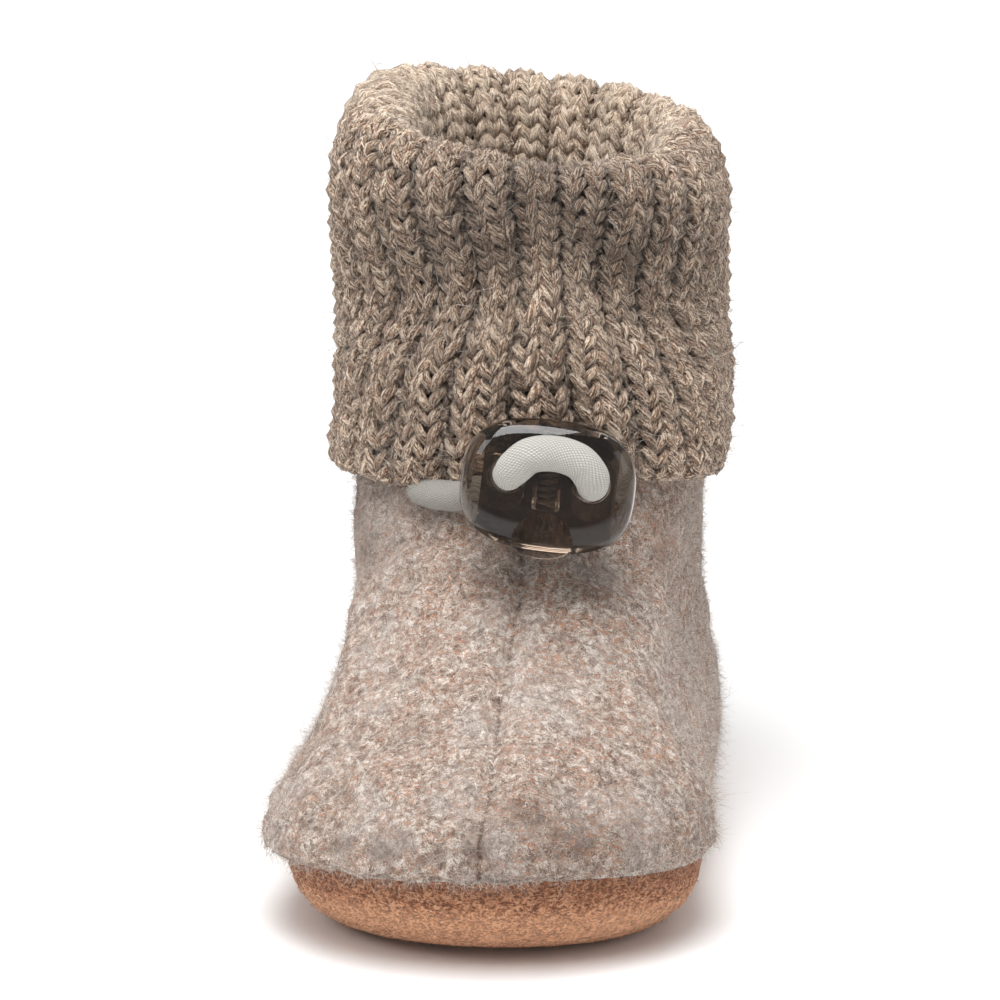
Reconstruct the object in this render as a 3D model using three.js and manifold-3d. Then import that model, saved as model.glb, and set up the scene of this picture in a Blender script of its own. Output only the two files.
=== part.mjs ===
// A toddler's bootie slipper: a boiled-wool upper on a turned-up suede sole, a turned-down rib-knit cuff,
// and an elastic drawcord held at the front of the ankle by a two-hole stopper with a sprung plunger.
// Millimetres. The toe points along -Y, +Z is up, and the origin is on the floor under the middle of the shoe.
import * as THREE from "three";
import { mergeVertices } from "three/addons/utils/BufferGeometryUtils.js";
import Module from "manifold-3d";

const wasm = await Module();
wasm.setup();

// Walls and clearances
const GAP = 0.3;
const WOOL_WALL = 3;
const SOLE_WALL = 1.8;
const INSOLE_WALL = 2.5;
const INSOLE_EDGE_GAP = 1.2;
const KNIT_WALL = 2.5;

// Sole: the outline of its rim, how its edge turns up, and how its toe lifts off the floor
const SOLE_RIM = { toeY: -58, heelY: 58, toeRadius: 29.2, heelRadius: 23.9, blunt: 0.86, waist: 0.8 };
const RIM_RADIUS = 10;
const RIM_TOP = 12.6;
const RIM_STEPS = 5;
const TOE_SPRING = 3;
const SPRING_FROM = -25;
const SPRING_TO = -62;

// Upper: its outside as rings from the edge over the sole up to the collar.
// Each ring runs from (toeY, toeZ) at the front to (heelY, heelZ) at the back and is as wide as its two radii say.
// blunt is the depth of its toe's arc for its width, and waist draws in its sides.
const UPPER = table("toeY toeZ heelY heelZ toeRadius heelRadius blunt waist", [
  [-61.3, 10.6, 61.3, 10.6, 32.5, 27.2, 0.86, 0.8],
  [-62.2, 13.0, 62.0, 13.2, 32.9, 27.6, 0.86, 0.6],
  [-61.4, 16.8, 61.8, 18.0, 31.7, 27.0, 0.87, 0.4],
  [-58.6, 20.8, 61.2, 23.0, 29.4, 26.2, 0.88, 0.2],
  [-53.6, 25.0, 60.4, 28.0, 26.4, 25.5, 0.9, 0],
  [-46.8, 29.5, 59.6, 33.0, 24.2, 25.0, 0.92, 0],
  [-38.6, 34.6, 58.8, 38.0, 23.5, 24.8, 0.95, 0],
  [-29.8, 40.3, 58.2, 43.0, 23.8, 24.8, 0.98, 0],
  [-21.4, 46.6, 57.6, 48.2, 24.3, 24.9, 1, 0],
  [-14.6, 53.4, 57.2, 54.0, 24.7, 25.0, 1, 0],
  [-11.0, 59.8, 57.0, 59.8, 24.9, 25.0, 1, 0],
  [-10.2, 64.5, 57.0, 64.5, 25.0, 25.0, 1, 0],
]);
const UPPER_STEPS = 12;
const LIP = 0.8;
const SEAM_DEPTH = 0.9;
const SEAM_HALF_WIDTH = 2.2;
const RING_COLUMNS = 44;

// Cuff: the bottoms of its rib valleys as rings from the outer edge, up the outside, over the rim and down the inside.
// fan spreads the ribs at the front, lean drops the right side, and rise lifts the edge over the drawcord.
const CUFF = table("toeY toeZ heelY heelZ toeRadius heelRadius blunt waist fan lean rise", [
  [-14.3, 60.0, 60.6, 47.5, 28.2, 27.9, 1, 0, 0.06, 0, 6],
  [-14.5, 69.0, 60.8, 62.5, 28.2, 28.0, 1, 0, 0.03, 0, 1],
  [-14.2, 79.5, 60.6, 78.5, 28.1, 27.9, 1, 0, -0.04, -0.8, 0],
  [-13.7, 89.5, 60.0, 90.0, 27.9, 27.7, 1, 0, -0.08, -2, 0],
  [-12.5, 96.6, 59.2, 97.4, 27.2, 27.0, 1, 0, -0.08, -3, 0],
  [-10.1, 101.1, 57.0, 102.0, 25.1, 24.9, 1, 0, -0.06, -3, 0],
  [-7.0, 102.8, 54.2, 103.8, 22.3, 22.1, 1, 0, -0.04, -3, 0],
  [-4.0, 101.4, 51.4, 102.4, 19.6, 19.4, 1, 0, -0.02, -3, 0],
  [-2.0, 97.4, 49.4, 98.4, 17.6, 17.6, 1, 0, 0, -3, 0],
  [-1.3, 90.5, 48.5, 91.5, 16.7, 16.7, 1, 0, 0, -2, 0],
  [-1.7, 81.0, 48.9, 81.0, 17.0, 17.0, 1, 0, 0, -0.8, 0],
  [-3.4, 69.5, 50.4, 69.5, 18.4, 18.4, 1, 0, 0, 0, 0],
  [-4.4, 54.0, 51.2, 54.0, 19.2, 19.2, 1, 0, 0, 0, 0],
]);
const CUFF_HALF_WIDTH = 29;
const RISE_HALF_WIDTH = 9;
const RIBS = 24;
const RIB_COLUMNS = 4;
const RIB_HEIGHT = 1.3;
const HIDDEN_ROWS = [12, 10, 8, 7, 6, 5, 4, 2, 0];

// Stopper: half sizes of its shell, the slot that the plunger slides in, the cord holes and the thumb notch
const STOPPER_CENTRE = new THREE.Vector3(6.5, -23, 60.7);
const STOPPER_TILT = THREE.MathUtils.degToRad(-15);
const STOPPER_ROLL = THREE.MathUtils.degToRad(6);
const STOPPER_YAW = THREE.MathUtils.degToRad(8);
const SHELL = { width: 12.3, depth: 5.4, height: 9.4, outlinePower: 2.7, depthPower: 4 };
const SHELL_COLUMNS = 28;
const SHELL_ROWS = 16;
const SLOT = { halfWidth: 9.3, halfDepth: 3, shoulderZ: 5.7, crownHalfWidth: 7.2, crownZ: 7.4 };
const HOLE_X = 5.9;
const HOLE_Z = 1;
const HOLE_RADIUS = 2.6;
const NOTCH = { radius: 4.3, z: -8 };
const ROUND_SIDES = 20;

// Plunger: how far it slides, and its thumb button
const TRAVEL = 2.5;
const BUTTON = { halfWidth: 4.4, shoulderHalfWidth: 6.4, shoulderZ: -7.6, tipZ: -10.2 };
const SLAB_FOOT_Z = -6.2;
const BORE = { radius: 1.95, floorZ: -3.4 };

// Spring
const SPRING = { radius: 1.35, wire: 0.5, coils: 10.5, sides: 5, stepsPerCoil: 8 };

// Drawcord: its route from one slot in the wool to the stopper's back, and over the stopper's front.
// The routes on its two sides are in the shoe's frame, and the bight over its front is in the stopper's own.
const CORD_DIAMETER = 4.4;
const CORD_SIDES = 8;
const CORD_STEPS = 56;
const CORD_SLOT_CLEARANCE = 0.35;
const STRAIGHT_PAST_SHELL = 1;
const LEFT_ROUTE = [
  [-12.2, -1.2, 55.8],
  [-12.8, -8.8, 56.0],
  [-9.6, -12.9, 56.3],
  [-5.4, -15.2, 57.1],
];
const RIGHT_ROUTE = [
  [13.2, -11.8, 58.2],
  [14.0, -6.6, 57.0],
  [13.6, 1.2, 56.4],
];
const BIGHT = [
  [-5.2, -8.6, 2.2],
  [-3.4, -9.8, 4.0],
  [0, -10, 4.7],
  [3.4, -9.8, 4.0],
  [5.4, -8.6, 2.2],
];

// A table of numbers as one record for each row.
function table(columns, rows) {
  const names = columns.split(" ");
  return rows.map((row) => Object.fromEntries(names.map((name, i) => [name, row[i]])));
}

// The section at a fractional row, on a smooth curve through the rows.
function sectionAt(sections, at) {
  const last = sections.length - 1;
  const row = Math.min(Math.floor(at), last - 1);
  const t = at - row;
  const near = [-1, 0, 1, 2].map((k) => sections[THREE.MathUtils.clamp(row + k, 0, last)]);
  const section = {};
  for (const name of Object.keys(sections[0])) {
    const [a, b, c, d] = near.map((s) => s[name]);
    const curve = 2 * a - 5 * b + 4 * c - d + t * (3 * (b - c) + d - a);
    section[name] = b + 0.5 * t * (c - a + t * curve);
  }
  return section;
}

// How far the toe's spring lifts a point of the shoe off the floor.
function toeLift(y) {
  const share = Math.max(0, (y - SPRING_FROM) / (SPRING_TO - SPRING_FROM));
  return TOE_SPRING * share * share;
}

// A point on a ring: an arc round the toe, a straight side and an arc round the heel. turn goes once round,
// from 0 at the toe by the +X side to 0.5 at the heel, in even steps of length.
function ringPoint(section, turn) {
  const { toeY, toeZ, heelY, heelZ, toeRadius, heelRadius, blunt, waist } = section;
  const round = turn - Math.floor(turn);
  const side = round <= 0.5 ? 1 : -1;
  const along = 2 * Math.min(round, 1 - round);
  const toeCentre = toeY + blunt * toeRadius;
  const heelCentre = heelY - heelRadius;
  const span = heelCentre - toeCentre;
  const taper = Math.asin((toeRadius - heelRadius) / span);
  const toeArc = toeRadius * (Math.PI / 2 + taper);
  const straight = span * Math.cos(taper);
  const heelArc = heelRadius * (Math.PI / 2 - taper);
  const run = along * (toeArc + straight + heelArc);
  const share = THREE.MathUtils.clamp((run - toeArc) / straight, 0, 1);
  const hollow = waist * Math.sin(Math.PI * share) ** 2;
  const radius = THREE.MathUtils.lerp(toeRadius, heelRadius, share) - hollow;
  const centre = THREE.MathUtils.lerp(toeCentre, heelCentre, share);
  const onToe = Math.min(0, (run - toeArc) / toeRadius);
  const onHeel = Math.max(0, (run - toeArc - straight) / heelRadius);
  const facing = taper + onToe + onHeel;
  const x = side * radius * Math.cos(facing);
  const y = centre + radius * Math.sin(facing) * (facing < 0 ? blunt : 1);
  const z = THREE.MathUtils.lerp(toeZ, heelZ, (y - toeY) / (heelY - toeY)) + toeLift(y);
  return new THREE.Vector3(x, y, z);
}

// A point of a surface, pushed out along its normal.
function pushed(surface, at, turn, distance) {
  const step = 1e-3;
  const along = surface(at, turn + step).sub(surface(at, turn - step));
  const up = surface(at + step, turn).sub(surface(at - step, turn));
  const normal = along.cross(up).normalize();
  return surface(at, turn).addScaledVector(normal, distance);
}

// One ring of a surface, pushed out by a distance that changes with the turn.
function ring(surface, at, columns, outAt) {
  return Array.from({ length: columns }, (_, i) => pushed(surface, at, i / columns, outAt(i / columns)));
}

// A closed mesh from points and triangles, with its faces turned outwards.
function closedMesh(points, faces) {
  const volume = faces.reduce((sum, [a, b, c]) => {
    return sum + points[a].dot(new THREE.Vector3().crossVectors(points[b], points[c]));
  }, 0);
  const outward = volume < 0 ? faces.map(([a, b, c]) => [a, c, b]) : faces;
  return new THREE.BufferGeometry().setFromPoints(points).setIndex(outward.flat());
}

// The triangles between rings of equal length. A loop joins the last ring to the first.
function bandFaces(rings, count, loop) {
  const faces = [];
  const bands = loop ? rings : rings - 1;
  for (let r = 0; r < bands; r++) {
    for (let i = 0; i < count; i++) {
      const a = r * count + i;
      const b = r * count + ((i + 1) % count);
      const c = ((r + 1) % rings) * count + i;
      const d = ((r + 1) % rings) * count + ((i + 1) % count);
      faces.push([a, b, d], [a, d, c]);
    }
  }
  return faces;
}

// The triangles that close a ring with strips straight across from side to side.
function acrossFaces(start, count, facing) {
  const faces = [];
  for (let i = 0; i < count / 2; i++) {
    const a = start + i;
    const b = start + i + 1;
    const c = start + count - i - 1;
    const d = start + ((count - i) % count);
    const corners = [a, b, c, d].filter((corner, k, all) => all.indexOf(corner) === k);
    for (let k = 1; k < corners.length - 1; k++) {
      const face = [corners[0], corners[k], corners[k + 1]];
      faces.push(facing > 0 ? face : face.reverse());
    }
  }
  return faces;
}

// A wall that closes on itself through its rings.
function loopOfRings(rings) {
  return closedMesh(rings.flat(), bandFaces(rings.length, rings[0].length, true));
}

// A stack of rings whose first and last are closed straight across.
function stackOfRings(rings) {
  const count = rings[0].length;
  const last = (rings.length - 1) * count;
  const faces = bandFaces(rings.length, count, false);
  return closedMesh(rings.flat(), [...faces, ...acrossFaces(0, count, -1), ...acrossFaces(last, count, 1)]);
}

// A geometry as a solid that can be cut, and back.
function solid(geometry) {
  const plain = geometry.clone();
  plain.deleteAttribute("normal");
  plain.deleteAttribute("uv");
  const merged = mergeVertices(plain, 1e-4);
  const vertProperties = new Float32Array(merged.getAttribute("position").array);
  const triVerts = new Uint32Array(merged.getIndex().array);
  return new wasm.Manifold(new wasm.Mesh({ numProp: 3, vertProperties, triVerts }));
}

function geometryOf(cut) {
  const { vertProperties, triVerts } = cut.getMesh();
  const made = new THREE.BufferGeometry();
  made.setAttribute("position", new THREE.BufferAttribute(new Float32Array(vertProperties), 3));
  made.setIndex(new THREE.BufferAttribute(new Uint32Array(triVerts), 1));
  return made;
}

// A ring of the sole's outline, drawn in by an inset and at one height above the lifted floor.
function soleRing(inset, height) {
  const section = {
    ...SOLE_RIM,
    toeY: SOLE_RIM.toeY + inset,
    heelY: SOLE_RIM.heelY - inset,
    toeRadius: SOLE_RIM.toeRadius - inset,
    heelRadius: SOLE_RIM.heelRadius - inset,
    toeZ: height,
    heelZ: height,
  };
  return Array.from({ length: RING_COLUMNS }, (_, i) => ringPoint(section, i / RING_COLUMNS));
}

// The rings of one face of the sole, from its flat bottom round the turned-up edge to the top of the rim.
function soleFace(wall) {
  const radius = RIM_RADIUS - wall;
  const turned = Array.from({ length: RIM_STEPS + 1 }, (_, i) => {
    const angle = (Math.PI / 2) * (1 - i / RIM_STEPS);
    return soleRing(wall + radius * (1 - Math.cos(angle)), wall + radius * (1 - Math.sin(angle)));
  });
  return [...turned, soleRing(wall, RIM_TOP)];
}

function outsoleGeometry() {
  return stackOfRings([...soleFace(0), ...soleFace(SOLE_WALL).reverse()]);
}

// The footbed lies in the sole, with its edge sloped like the turned-up edge beside it.
function insoleGeometry() {
  const radius = RIM_RADIUS - SOLE_WALL;
  const bottom = SOLE_WALL + GAP;
  const insetAt = (height) => {
    const sine = 1 - (height - SOLE_WALL) / radius;
    return SOLE_WALL + radius * (1 - Math.sqrt(1 - sine * sine)) + INSOLE_EDGE_GAP;
  };
  const heights = [bottom, bottom + INSOLE_WALL / 2, bottom + INSOLE_WALL];
  return stackOfRings(heights.map((height) => soleRing(insetAt(height), height)));
}

const upperSurface = (at, turn) => ringPoint(sectionAt(UPPER, at), turn);

// The seam's dip in the wool, deepest on the middle of the vamp.
function seamDip(at, turn) {
  const { x, y } = upperSurface(at, turn);
  return y < 0 ? SEAM_DEPTH * Math.exp(-((x / SEAM_HALF_WIDTH) ** 2)) : 0;
}

// The rings of the wool at a depth under its outside, from the sole to the collar.
function upperRings(depthAt) {
  const top = UPPER.length - 1;
  const levels = Array.from({ length: UPPER_STEPS + 1 }, (_, i) => (top * i) / UPPER_STEPS);
  return levels.map((at) => ring(upperSurface, at, RING_COLUMNS, (turn) => -depthAt(at, turn)));
}

// The rounded edge of the wool, halfway through the wall.
function upperLip(at, drop) {
  const middle = ring(upperSurface, at, RING_COLUMNS, () => -WOOL_WALL / 2);
  return middle.map((point) => point.setZ(point.z + drop));
}

function upperWall() {
  const top = UPPER.length - 1;
  const outside = upperRings(seamDip);
  const inside = upperRings(() => WOOL_WALL).reverse();
  return loopOfRings([...outside, upperLip(top, LIP), ...inside, upperLip(0, -LIP)]);
}

// The hollow of the upper as a closed form, a little larger than the hollow itself.
function upperHollow() {
  return stackOfRings(upperRings(() => WOOL_WALL - GAP));
}

// A round tube along a route of points.
function tube(points, diameter, sides, steps) {
  const section = new THREE.Shape().absarc(0, 0, diameter / 2, 0, 2 * Math.PI);
  const extrudePath = new THREE.CatmullRomCurve3(points, false, "centripetal");
  return new THREE.ExtrudeGeometry(section, { steps, curveSegments: sides / 2, extrudePath });
}

function cordRoute(stopper) {
  const inStopper = (x, y, z) => stopper.localToWorld(new THREE.Vector3(x, y, z));
  const inShoe = ([x, y, z]) => new THREE.Vector3(x, y, z);
  const face = SHELL.depth;
  const end = face + STRAIGHT_PAST_SHELL;
  return [
    ...LEFT_ROUTE.map(inShoe),
    ...[end, face, -face, -end].map((y) => inStopper(-HOLE_X, y, HOLE_Z)),
    ...BIGHT.map(([x, y, z]) => inStopper(x, y, z)),
    ...[-end, -face, face, end].map((y) => inStopper(HOLE_X, y, HOLE_Z)),
    ...RIGHT_ROUTE.map(inShoe),
  ];
}

// The cord ends inside the wool, clear of the foot.
function drawcordGeometry(route) {
  const cord = solid(tube(route, CORD_DIAMETER, CORD_SIDES, CORD_STEPS));
  return geometryOf(cord.subtract(solid(upperHollow())));
}

function upperGeometry(route) {
  const slots = tube(route, CORD_DIAMETER + 2 * CORD_SLOT_CLEARANCE, CORD_SIDES, CORD_STEPS);
  return geometryOf(solid(upperWall()).subtract(solid(slots)));
}

// The bottom of the rib valleys. phase counts ribs round the cuff, and valleys stay on whole ribs.
function cuffSurface(at, phase) {
  const section = sectionAt(CUFF, at);
  const turn = phase + (section.fan * Math.sin(2 * Math.PI * phase)) / (2 * Math.PI);
  const point = ringPoint(section, turn);
  const beside = (point.x - STOPPER_CENTRE.x) / RISE_HALF_WIDTH;
  const front = point.y < 0 ? Math.exp(-beside * beside) : 0;
  point.z += (section.lean * point.x) / CUFF_HALF_WIDTH + section.rise * front;
  return point;
}

const ribHeight = (phase) => RIB_HEIGHT * Math.sqrt(Math.abs(Math.sin(Math.PI * RIBS * phase)));

function cuffGeometry() {
  const columns = RIBS * RIB_COLUMNS;
  const face = CUFF.map((_, at) => ring(cuffSurface, at, columns, ribHeight));
  const hidden = HIDDEN_ROWS.map((at) => ring(cuffSurface, at, columns, () => -KNIT_WALL));
  return loopOfRings([...face, ...hidden]);
}

// A rounded shell: superelliptic seen from the front, and blunter through its depth.
function shellGeometry() {
  const { width, depth, height, outlinePower, depthPower } = SHELL;
  const shell = new THREE.SphereGeometry(1, SHELL_COLUMNS, SHELL_ROWS);
  shell.rotateX(Math.PI / 2);
  const position = shell.getAttribute("position");
  for (let i = 0; i < position.count; i++) {
    const [x, y, z] = [position.getX(i), position.getY(i), position.getZ(i)];
    const outline = (Math.abs(x) ** outlinePower + Math.abs(z) ** outlinePower) ** (1 / outlinePower);
    const size = (outline ** depthPower + Math.abs(y) ** depthPower) ** (1 / depthPower);
    position.setXYZ(i, (width * x) / size, (depth * y) / size, (height * z) / size);
  }
  return shell;
}

// An outline in the stopper's X and Z, given depth along its Y.
function plate(outline, halfDepth) {
  const made = new THREE.ExtrudeGeometry(outline, {
    depth: 2 * halfDepth,
    bevelEnabled: false,
    curveSegments: ROUND_SIDES / 2,
  });
  return made.rotateX(Math.PI / 2).translate(0, halfDepth, 0);
}

// A round bar through the stopper from front to back, or from the front to its middle.
function crossBar(x, z, radius, fromY, toY) {
  const bar = new THREE.CylinderGeometry(radius, radius, toY - fromY, ROUND_SIDES);
  return bar.translate(x, (fromY + toY) / 2, z);
}

// The slot's outline, open below the shell.
function slotOutline() {
  const { halfWidth, shoulderZ, crownHalfWidth, crownZ } = SLOT;
  const below = -2 * SHELL.height;
  return new THREE.Shape([
    new THREE.Vector2(-halfWidth, below),
    new THREE.Vector2(halfWidth, below),
    new THREE.Vector2(halfWidth, shoulderZ),
    new THREE.Vector2(crownHalfWidth, crownZ),
    new THREE.Vector2(-crownHalfWidth, crownZ),
    new THREE.Vector2(-halfWidth, shoulderZ),
  ]);
}

function stopperBodyGeometry() {
  const through = 2 * SHELL.depth;
  const cuts = [
    plate(slotOutline(), SLOT.halfDepth),
    crossBar(-HOLE_X, HOLE_Z, HOLE_RADIUS, -through, through),
    crossBar(HOLE_X, HOLE_Z, HOLE_RADIUS, -through, through),
    crossBar(0, NOTCH.z, NOTCH.radius, -through, 0),
  ];
  return geometryOf(cuts.reduce((body, cut) => body.subtract(solid(cut)), solid(shellGeometry())));
}

// The windows let the cord stay where it is while the plunger slides up.
function cordWindow(x) {
  const top = HOLE_Z + CORD_DIAMETER / 2 + CORD_SLOT_CLEARANCE - HOLE_RADIUS;
  const bottom = HOLE_Z - CORD_DIAMETER / 2 - CORD_SLOT_CLEARANCE - TRAVEL + HOLE_RADIUS;
  const outline = new THREE.Path();
  outline.absarc(x, top, HOLE_RADIUS, 0, Math.PI);
  outline.absarc(x, bottom, HOLE_RADIUS, Math.PI, 2 * Math.PI);
  return outline;
}

function plungerGeometry() {
  const halfWidth = SLOT.halfWidth - GAP;
  const crown = SLOT.crownHalfWidth - GAP;
  const shoulderZ = SLOT.shoulderZ - TRAVEL - GAP;
  const crownZ = SLOT.crownZ - TRAVEL - GAP;
  const outline = new THREE.Shape();
  outline.moveTo(halfWidth, SLAB_FOOT_Z);
  outline.lineTo(halfWidth, shoulderZ);
  outline.lineTo(crown, crownZ);
  outline.lineTo(-crown, crownZ);
  outline.lineTo(-halfWidth, shoulderZ);
  outline.lineTo(-halfWidth, SLAB_FOOT_Z);
  outline.lineTo(-BUTTON.shoulderHalfWidth, BUTTON.shoulderZ);
  outline.lineTo(-BUTTON.halfWidth, BUTTON.shoulderZ);
  outline.quadraticCurveTo(-BUTTON.halfWidth, BUTTON.tipZ, 0, BUTTON.tipZ);
  outline.quadraticCurveTo(BUTTON.halfWidth, BUTTON.tipZ, BUTTON.halfWidth, BUTTON.shoulderZ);
  outline.lineTo(BUTTON.shoulderHalfWidth, BUTTON.shoulderZ);
  outline.holes.push(cordWindow(-HOLE_X), cordWindow(HOLE_X));
  const slab = solid(plate(outline, SLOT.halfDepth - GAP));
  const bore = new THREE.CylinderGeometry(BORE.radius, BORE.radius, SHELL.height, ROUND_SIDES);
  bore.rotateX(Math.PI / 2).translate(0, 0, BORE.floorZ + SHELL.height / 2);
  return geometryOf(slab.subtract(solid(bore)));
}

// A coil from the floor of the plunger's bore to the crown of the slot.
class Coil extends THREE.Curve {
  getPoint(t, target = new THREE.Vector3()) {
    const angle = 2 * Math.PI * SPRING.coils * t;
    const bottom = BORE.floorZ + GAP + SPRING.wire / 2;
    const top = SLOT.crownZ - GAP - SPRING.wire / 2;
    const height = THREE.MathUtils.lerp(bottom, top, t);
    return target.set(SPRING.radius * Math.cos(angle), SPRING.radius * Math.sin(angle), height);
  }
}

function springGeometry() {
  const section = new THREE.Shape(
    Array.from({ length: SPRING.sides }, (_, i) => {
      const angle = (2 * Math.PI * i) / SPRING.sides;
      return new THREE.Vector2(Math.cos(angle), Math.sin(angle)).multiplyScalar(SPRING.wire / 2);
    }),
  );
  const steps = Math.round(SPRING.coils * SPRING.stepsPerCoil);
  return new THREE.ExtrudeGeometry(section, { steps, extrudePath: new Coil() });
}

function named(name, geometry, color, roughness, metalness = 0) {
  const mesh = new THREE.Mesh(geometry, new THREE.MeshStandardMaterial({ color, roughness, metalness }));
  mesh.name = name;
  return mesh;
}

const stopper = new THREE.Group();
stopper.position.copy(STOPPER_CENTRE);
stopper.rotation.set(STOPPER_TILT, STOPPER_ROLL, STOPPER_YAW);
stopper.updateMatrixWorld(true);
stopper.add(
  named("stopper_body", stopperBodyGeometry(), 0x3c342e, 0.08),
  named("stopper_plunger", plungerGeometry(), 0x39322d, 0.12),
  named("stopper_spring", springGeometry(), 0xb8b8b4, 0.3, 1),
);

const route = cordRoute(stopper);
const slipper = new THREE.Group();
slipper.add(
  named("outsole", outsoleGeometry(), 0xaf785a, 0.95),
  named("insole", insoleGeometry(), 0xb8a898, 1),
  named("upper", upperGeometry(route), 0xb9aa9e, 1),
  named("cuff", cuffGeometry(), 0x968473, 1),
  named("drawcord", drawcordGeometry(route), 0xc8c6be, 0.85),
  stopper,
);

export default slipper;
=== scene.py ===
"""A toddler's bootie slipper: a hairy boiled-wool upper on a turned-up suede sole, a turned-down cuff knitted
in two-by-two rib, an elastic drawcord and a see-through cord stopper with a sprung plunger.
Sizes are in millimetres. The toe points along -Y, +Z is up, and meshes are written in metres."""

import itertools
import math

import bmesh
import bpy
import numpy as np
from mathutils import Euler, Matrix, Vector


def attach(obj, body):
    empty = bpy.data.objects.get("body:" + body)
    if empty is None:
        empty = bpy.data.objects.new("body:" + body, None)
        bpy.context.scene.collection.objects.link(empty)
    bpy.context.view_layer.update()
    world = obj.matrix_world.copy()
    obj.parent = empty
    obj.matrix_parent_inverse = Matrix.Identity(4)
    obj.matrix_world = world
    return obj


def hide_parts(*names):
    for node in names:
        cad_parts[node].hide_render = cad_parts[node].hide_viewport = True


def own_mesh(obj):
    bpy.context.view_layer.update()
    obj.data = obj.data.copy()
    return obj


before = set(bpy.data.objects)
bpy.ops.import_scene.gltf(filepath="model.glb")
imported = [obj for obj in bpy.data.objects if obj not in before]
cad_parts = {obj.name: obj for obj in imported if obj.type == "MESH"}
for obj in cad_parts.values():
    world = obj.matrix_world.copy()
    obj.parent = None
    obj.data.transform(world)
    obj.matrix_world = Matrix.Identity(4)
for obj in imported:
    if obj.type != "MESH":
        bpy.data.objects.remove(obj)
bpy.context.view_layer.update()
MM = 0.001
TURN = 2 * math.pi


def table(columns, *rows):
    """Rows of numbers as one array for each named column."""
    return dict(zip(columns.split(), np.array(rows, float).T))


# Sole: the outline of its rim, how its edge turns up, and how its toe lifts off the floor
SOLE = dict(toe_y=-58, heel_y=58, toe_radius=29.2, heel_radius=23.9, blunt=0.86, waist=0.8)
SOLE_WALL = 1.8
RIM_RADIUS = 10
RIM_TOP = 12.6
TOE_SPRING = 3
SPRING_FROM = -25
SPRING_TO = -62
INSOLE_WALL = 2.5
INSOLE_EDGE_GAP = 1.2
GAP = 0.3
NAP_HAIRS = 3000

# Upper: rings of its outside, from the edge over the sole up to the collar
UPPER = table(
    "toe_y toe_z heel_y heel_z toe_radius heel_radius blunt waist",
    (-61.3, 10.6, 61.3, 10.6, 32.5, 27.2, 0.86, 0.8),
    (-62.2, 13.0, 62.0, 13.2, 32.9, 27.6, 0.86, 0.6),
    (-61.4, 16.8, 61.8, 18.0, 31.7, 27.0, 0.87, 0.4),
    (-58.6, 20.8, 61.2, 23.0, 29.4, 26.2, 0.88, 0.2),
    (-53.6, 25.0, 60.4, 28.0, 26.4, 25.5, 0.90, 0.0),
    (-46.8, 29.5, 59.6, 33.0, 24.2, 25.0, 0.92, 0.0),
    (-38.6, 34.6, 58.8, 38.0, 23.5, 24.8, 0.95, 0.0),
    (-29.8, 40.3, 58.2, 43.0, 23.8, 24.8, 0.98, 0.0),
    (-21.4, 46.6, 57.6, 48.2, 24.3, 24.9, 1.00, 0.0),
    (-14.6, 53.4, 57.2, 54.0, 24.7, 25.0, 1.00, 0.0),
    (-11.0, 59.8, 57.0, 59.8, 24.9, 25.0, 1.00, 0.0),
    (-10.2, 64.5, 57.0, 64.5, 25.0, 25.0, 1.00, 0.0),
)
UPPER_TOP = 11
WOOL_WALL = 3
WOOL_LIP = 0.8

# Soft folds in the wool: a trough or a ridge from one point to another, with its half width and its depth
FOLDS = table(
    "x0 y0 z0 x1 y1 z1 half_width depth",
    (-25, -8, 47, -17, -32, 36, 5.0, 1.1),
    (-26, -16, 33, -18, -44, 27, 5.5, -0.7),
    (-27, 6, 40, -26, -22, 26, 5.0, 0.8),
    (14, -14, 49, 25, 4, 34, 7.0, 1.8),
    (11, -22, 44, 25, -10, 29, 4.5, -0.8),
    (17, -40, 31, 4, -50, 27, 4.0, -0.6),
    (-9, -47, 28, -21, -42, 28, 3.5, 0.6),
    (-12, 57, 44, 10, 58, 41, 4.0, 0.7),
    (-20, 48, 30, 16, 60, 33, 5.0, -0.6),
)
SEAM_DEPTH = 1.3
SEAM_HALF_WIDTH = 1.2
SEAM_X = 3.0
SEAM_SLANT = 0.0366
SEAM_WAVES = ((0.3, 0.21, 0.0), (0.15, 0.57, 1.0))

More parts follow.
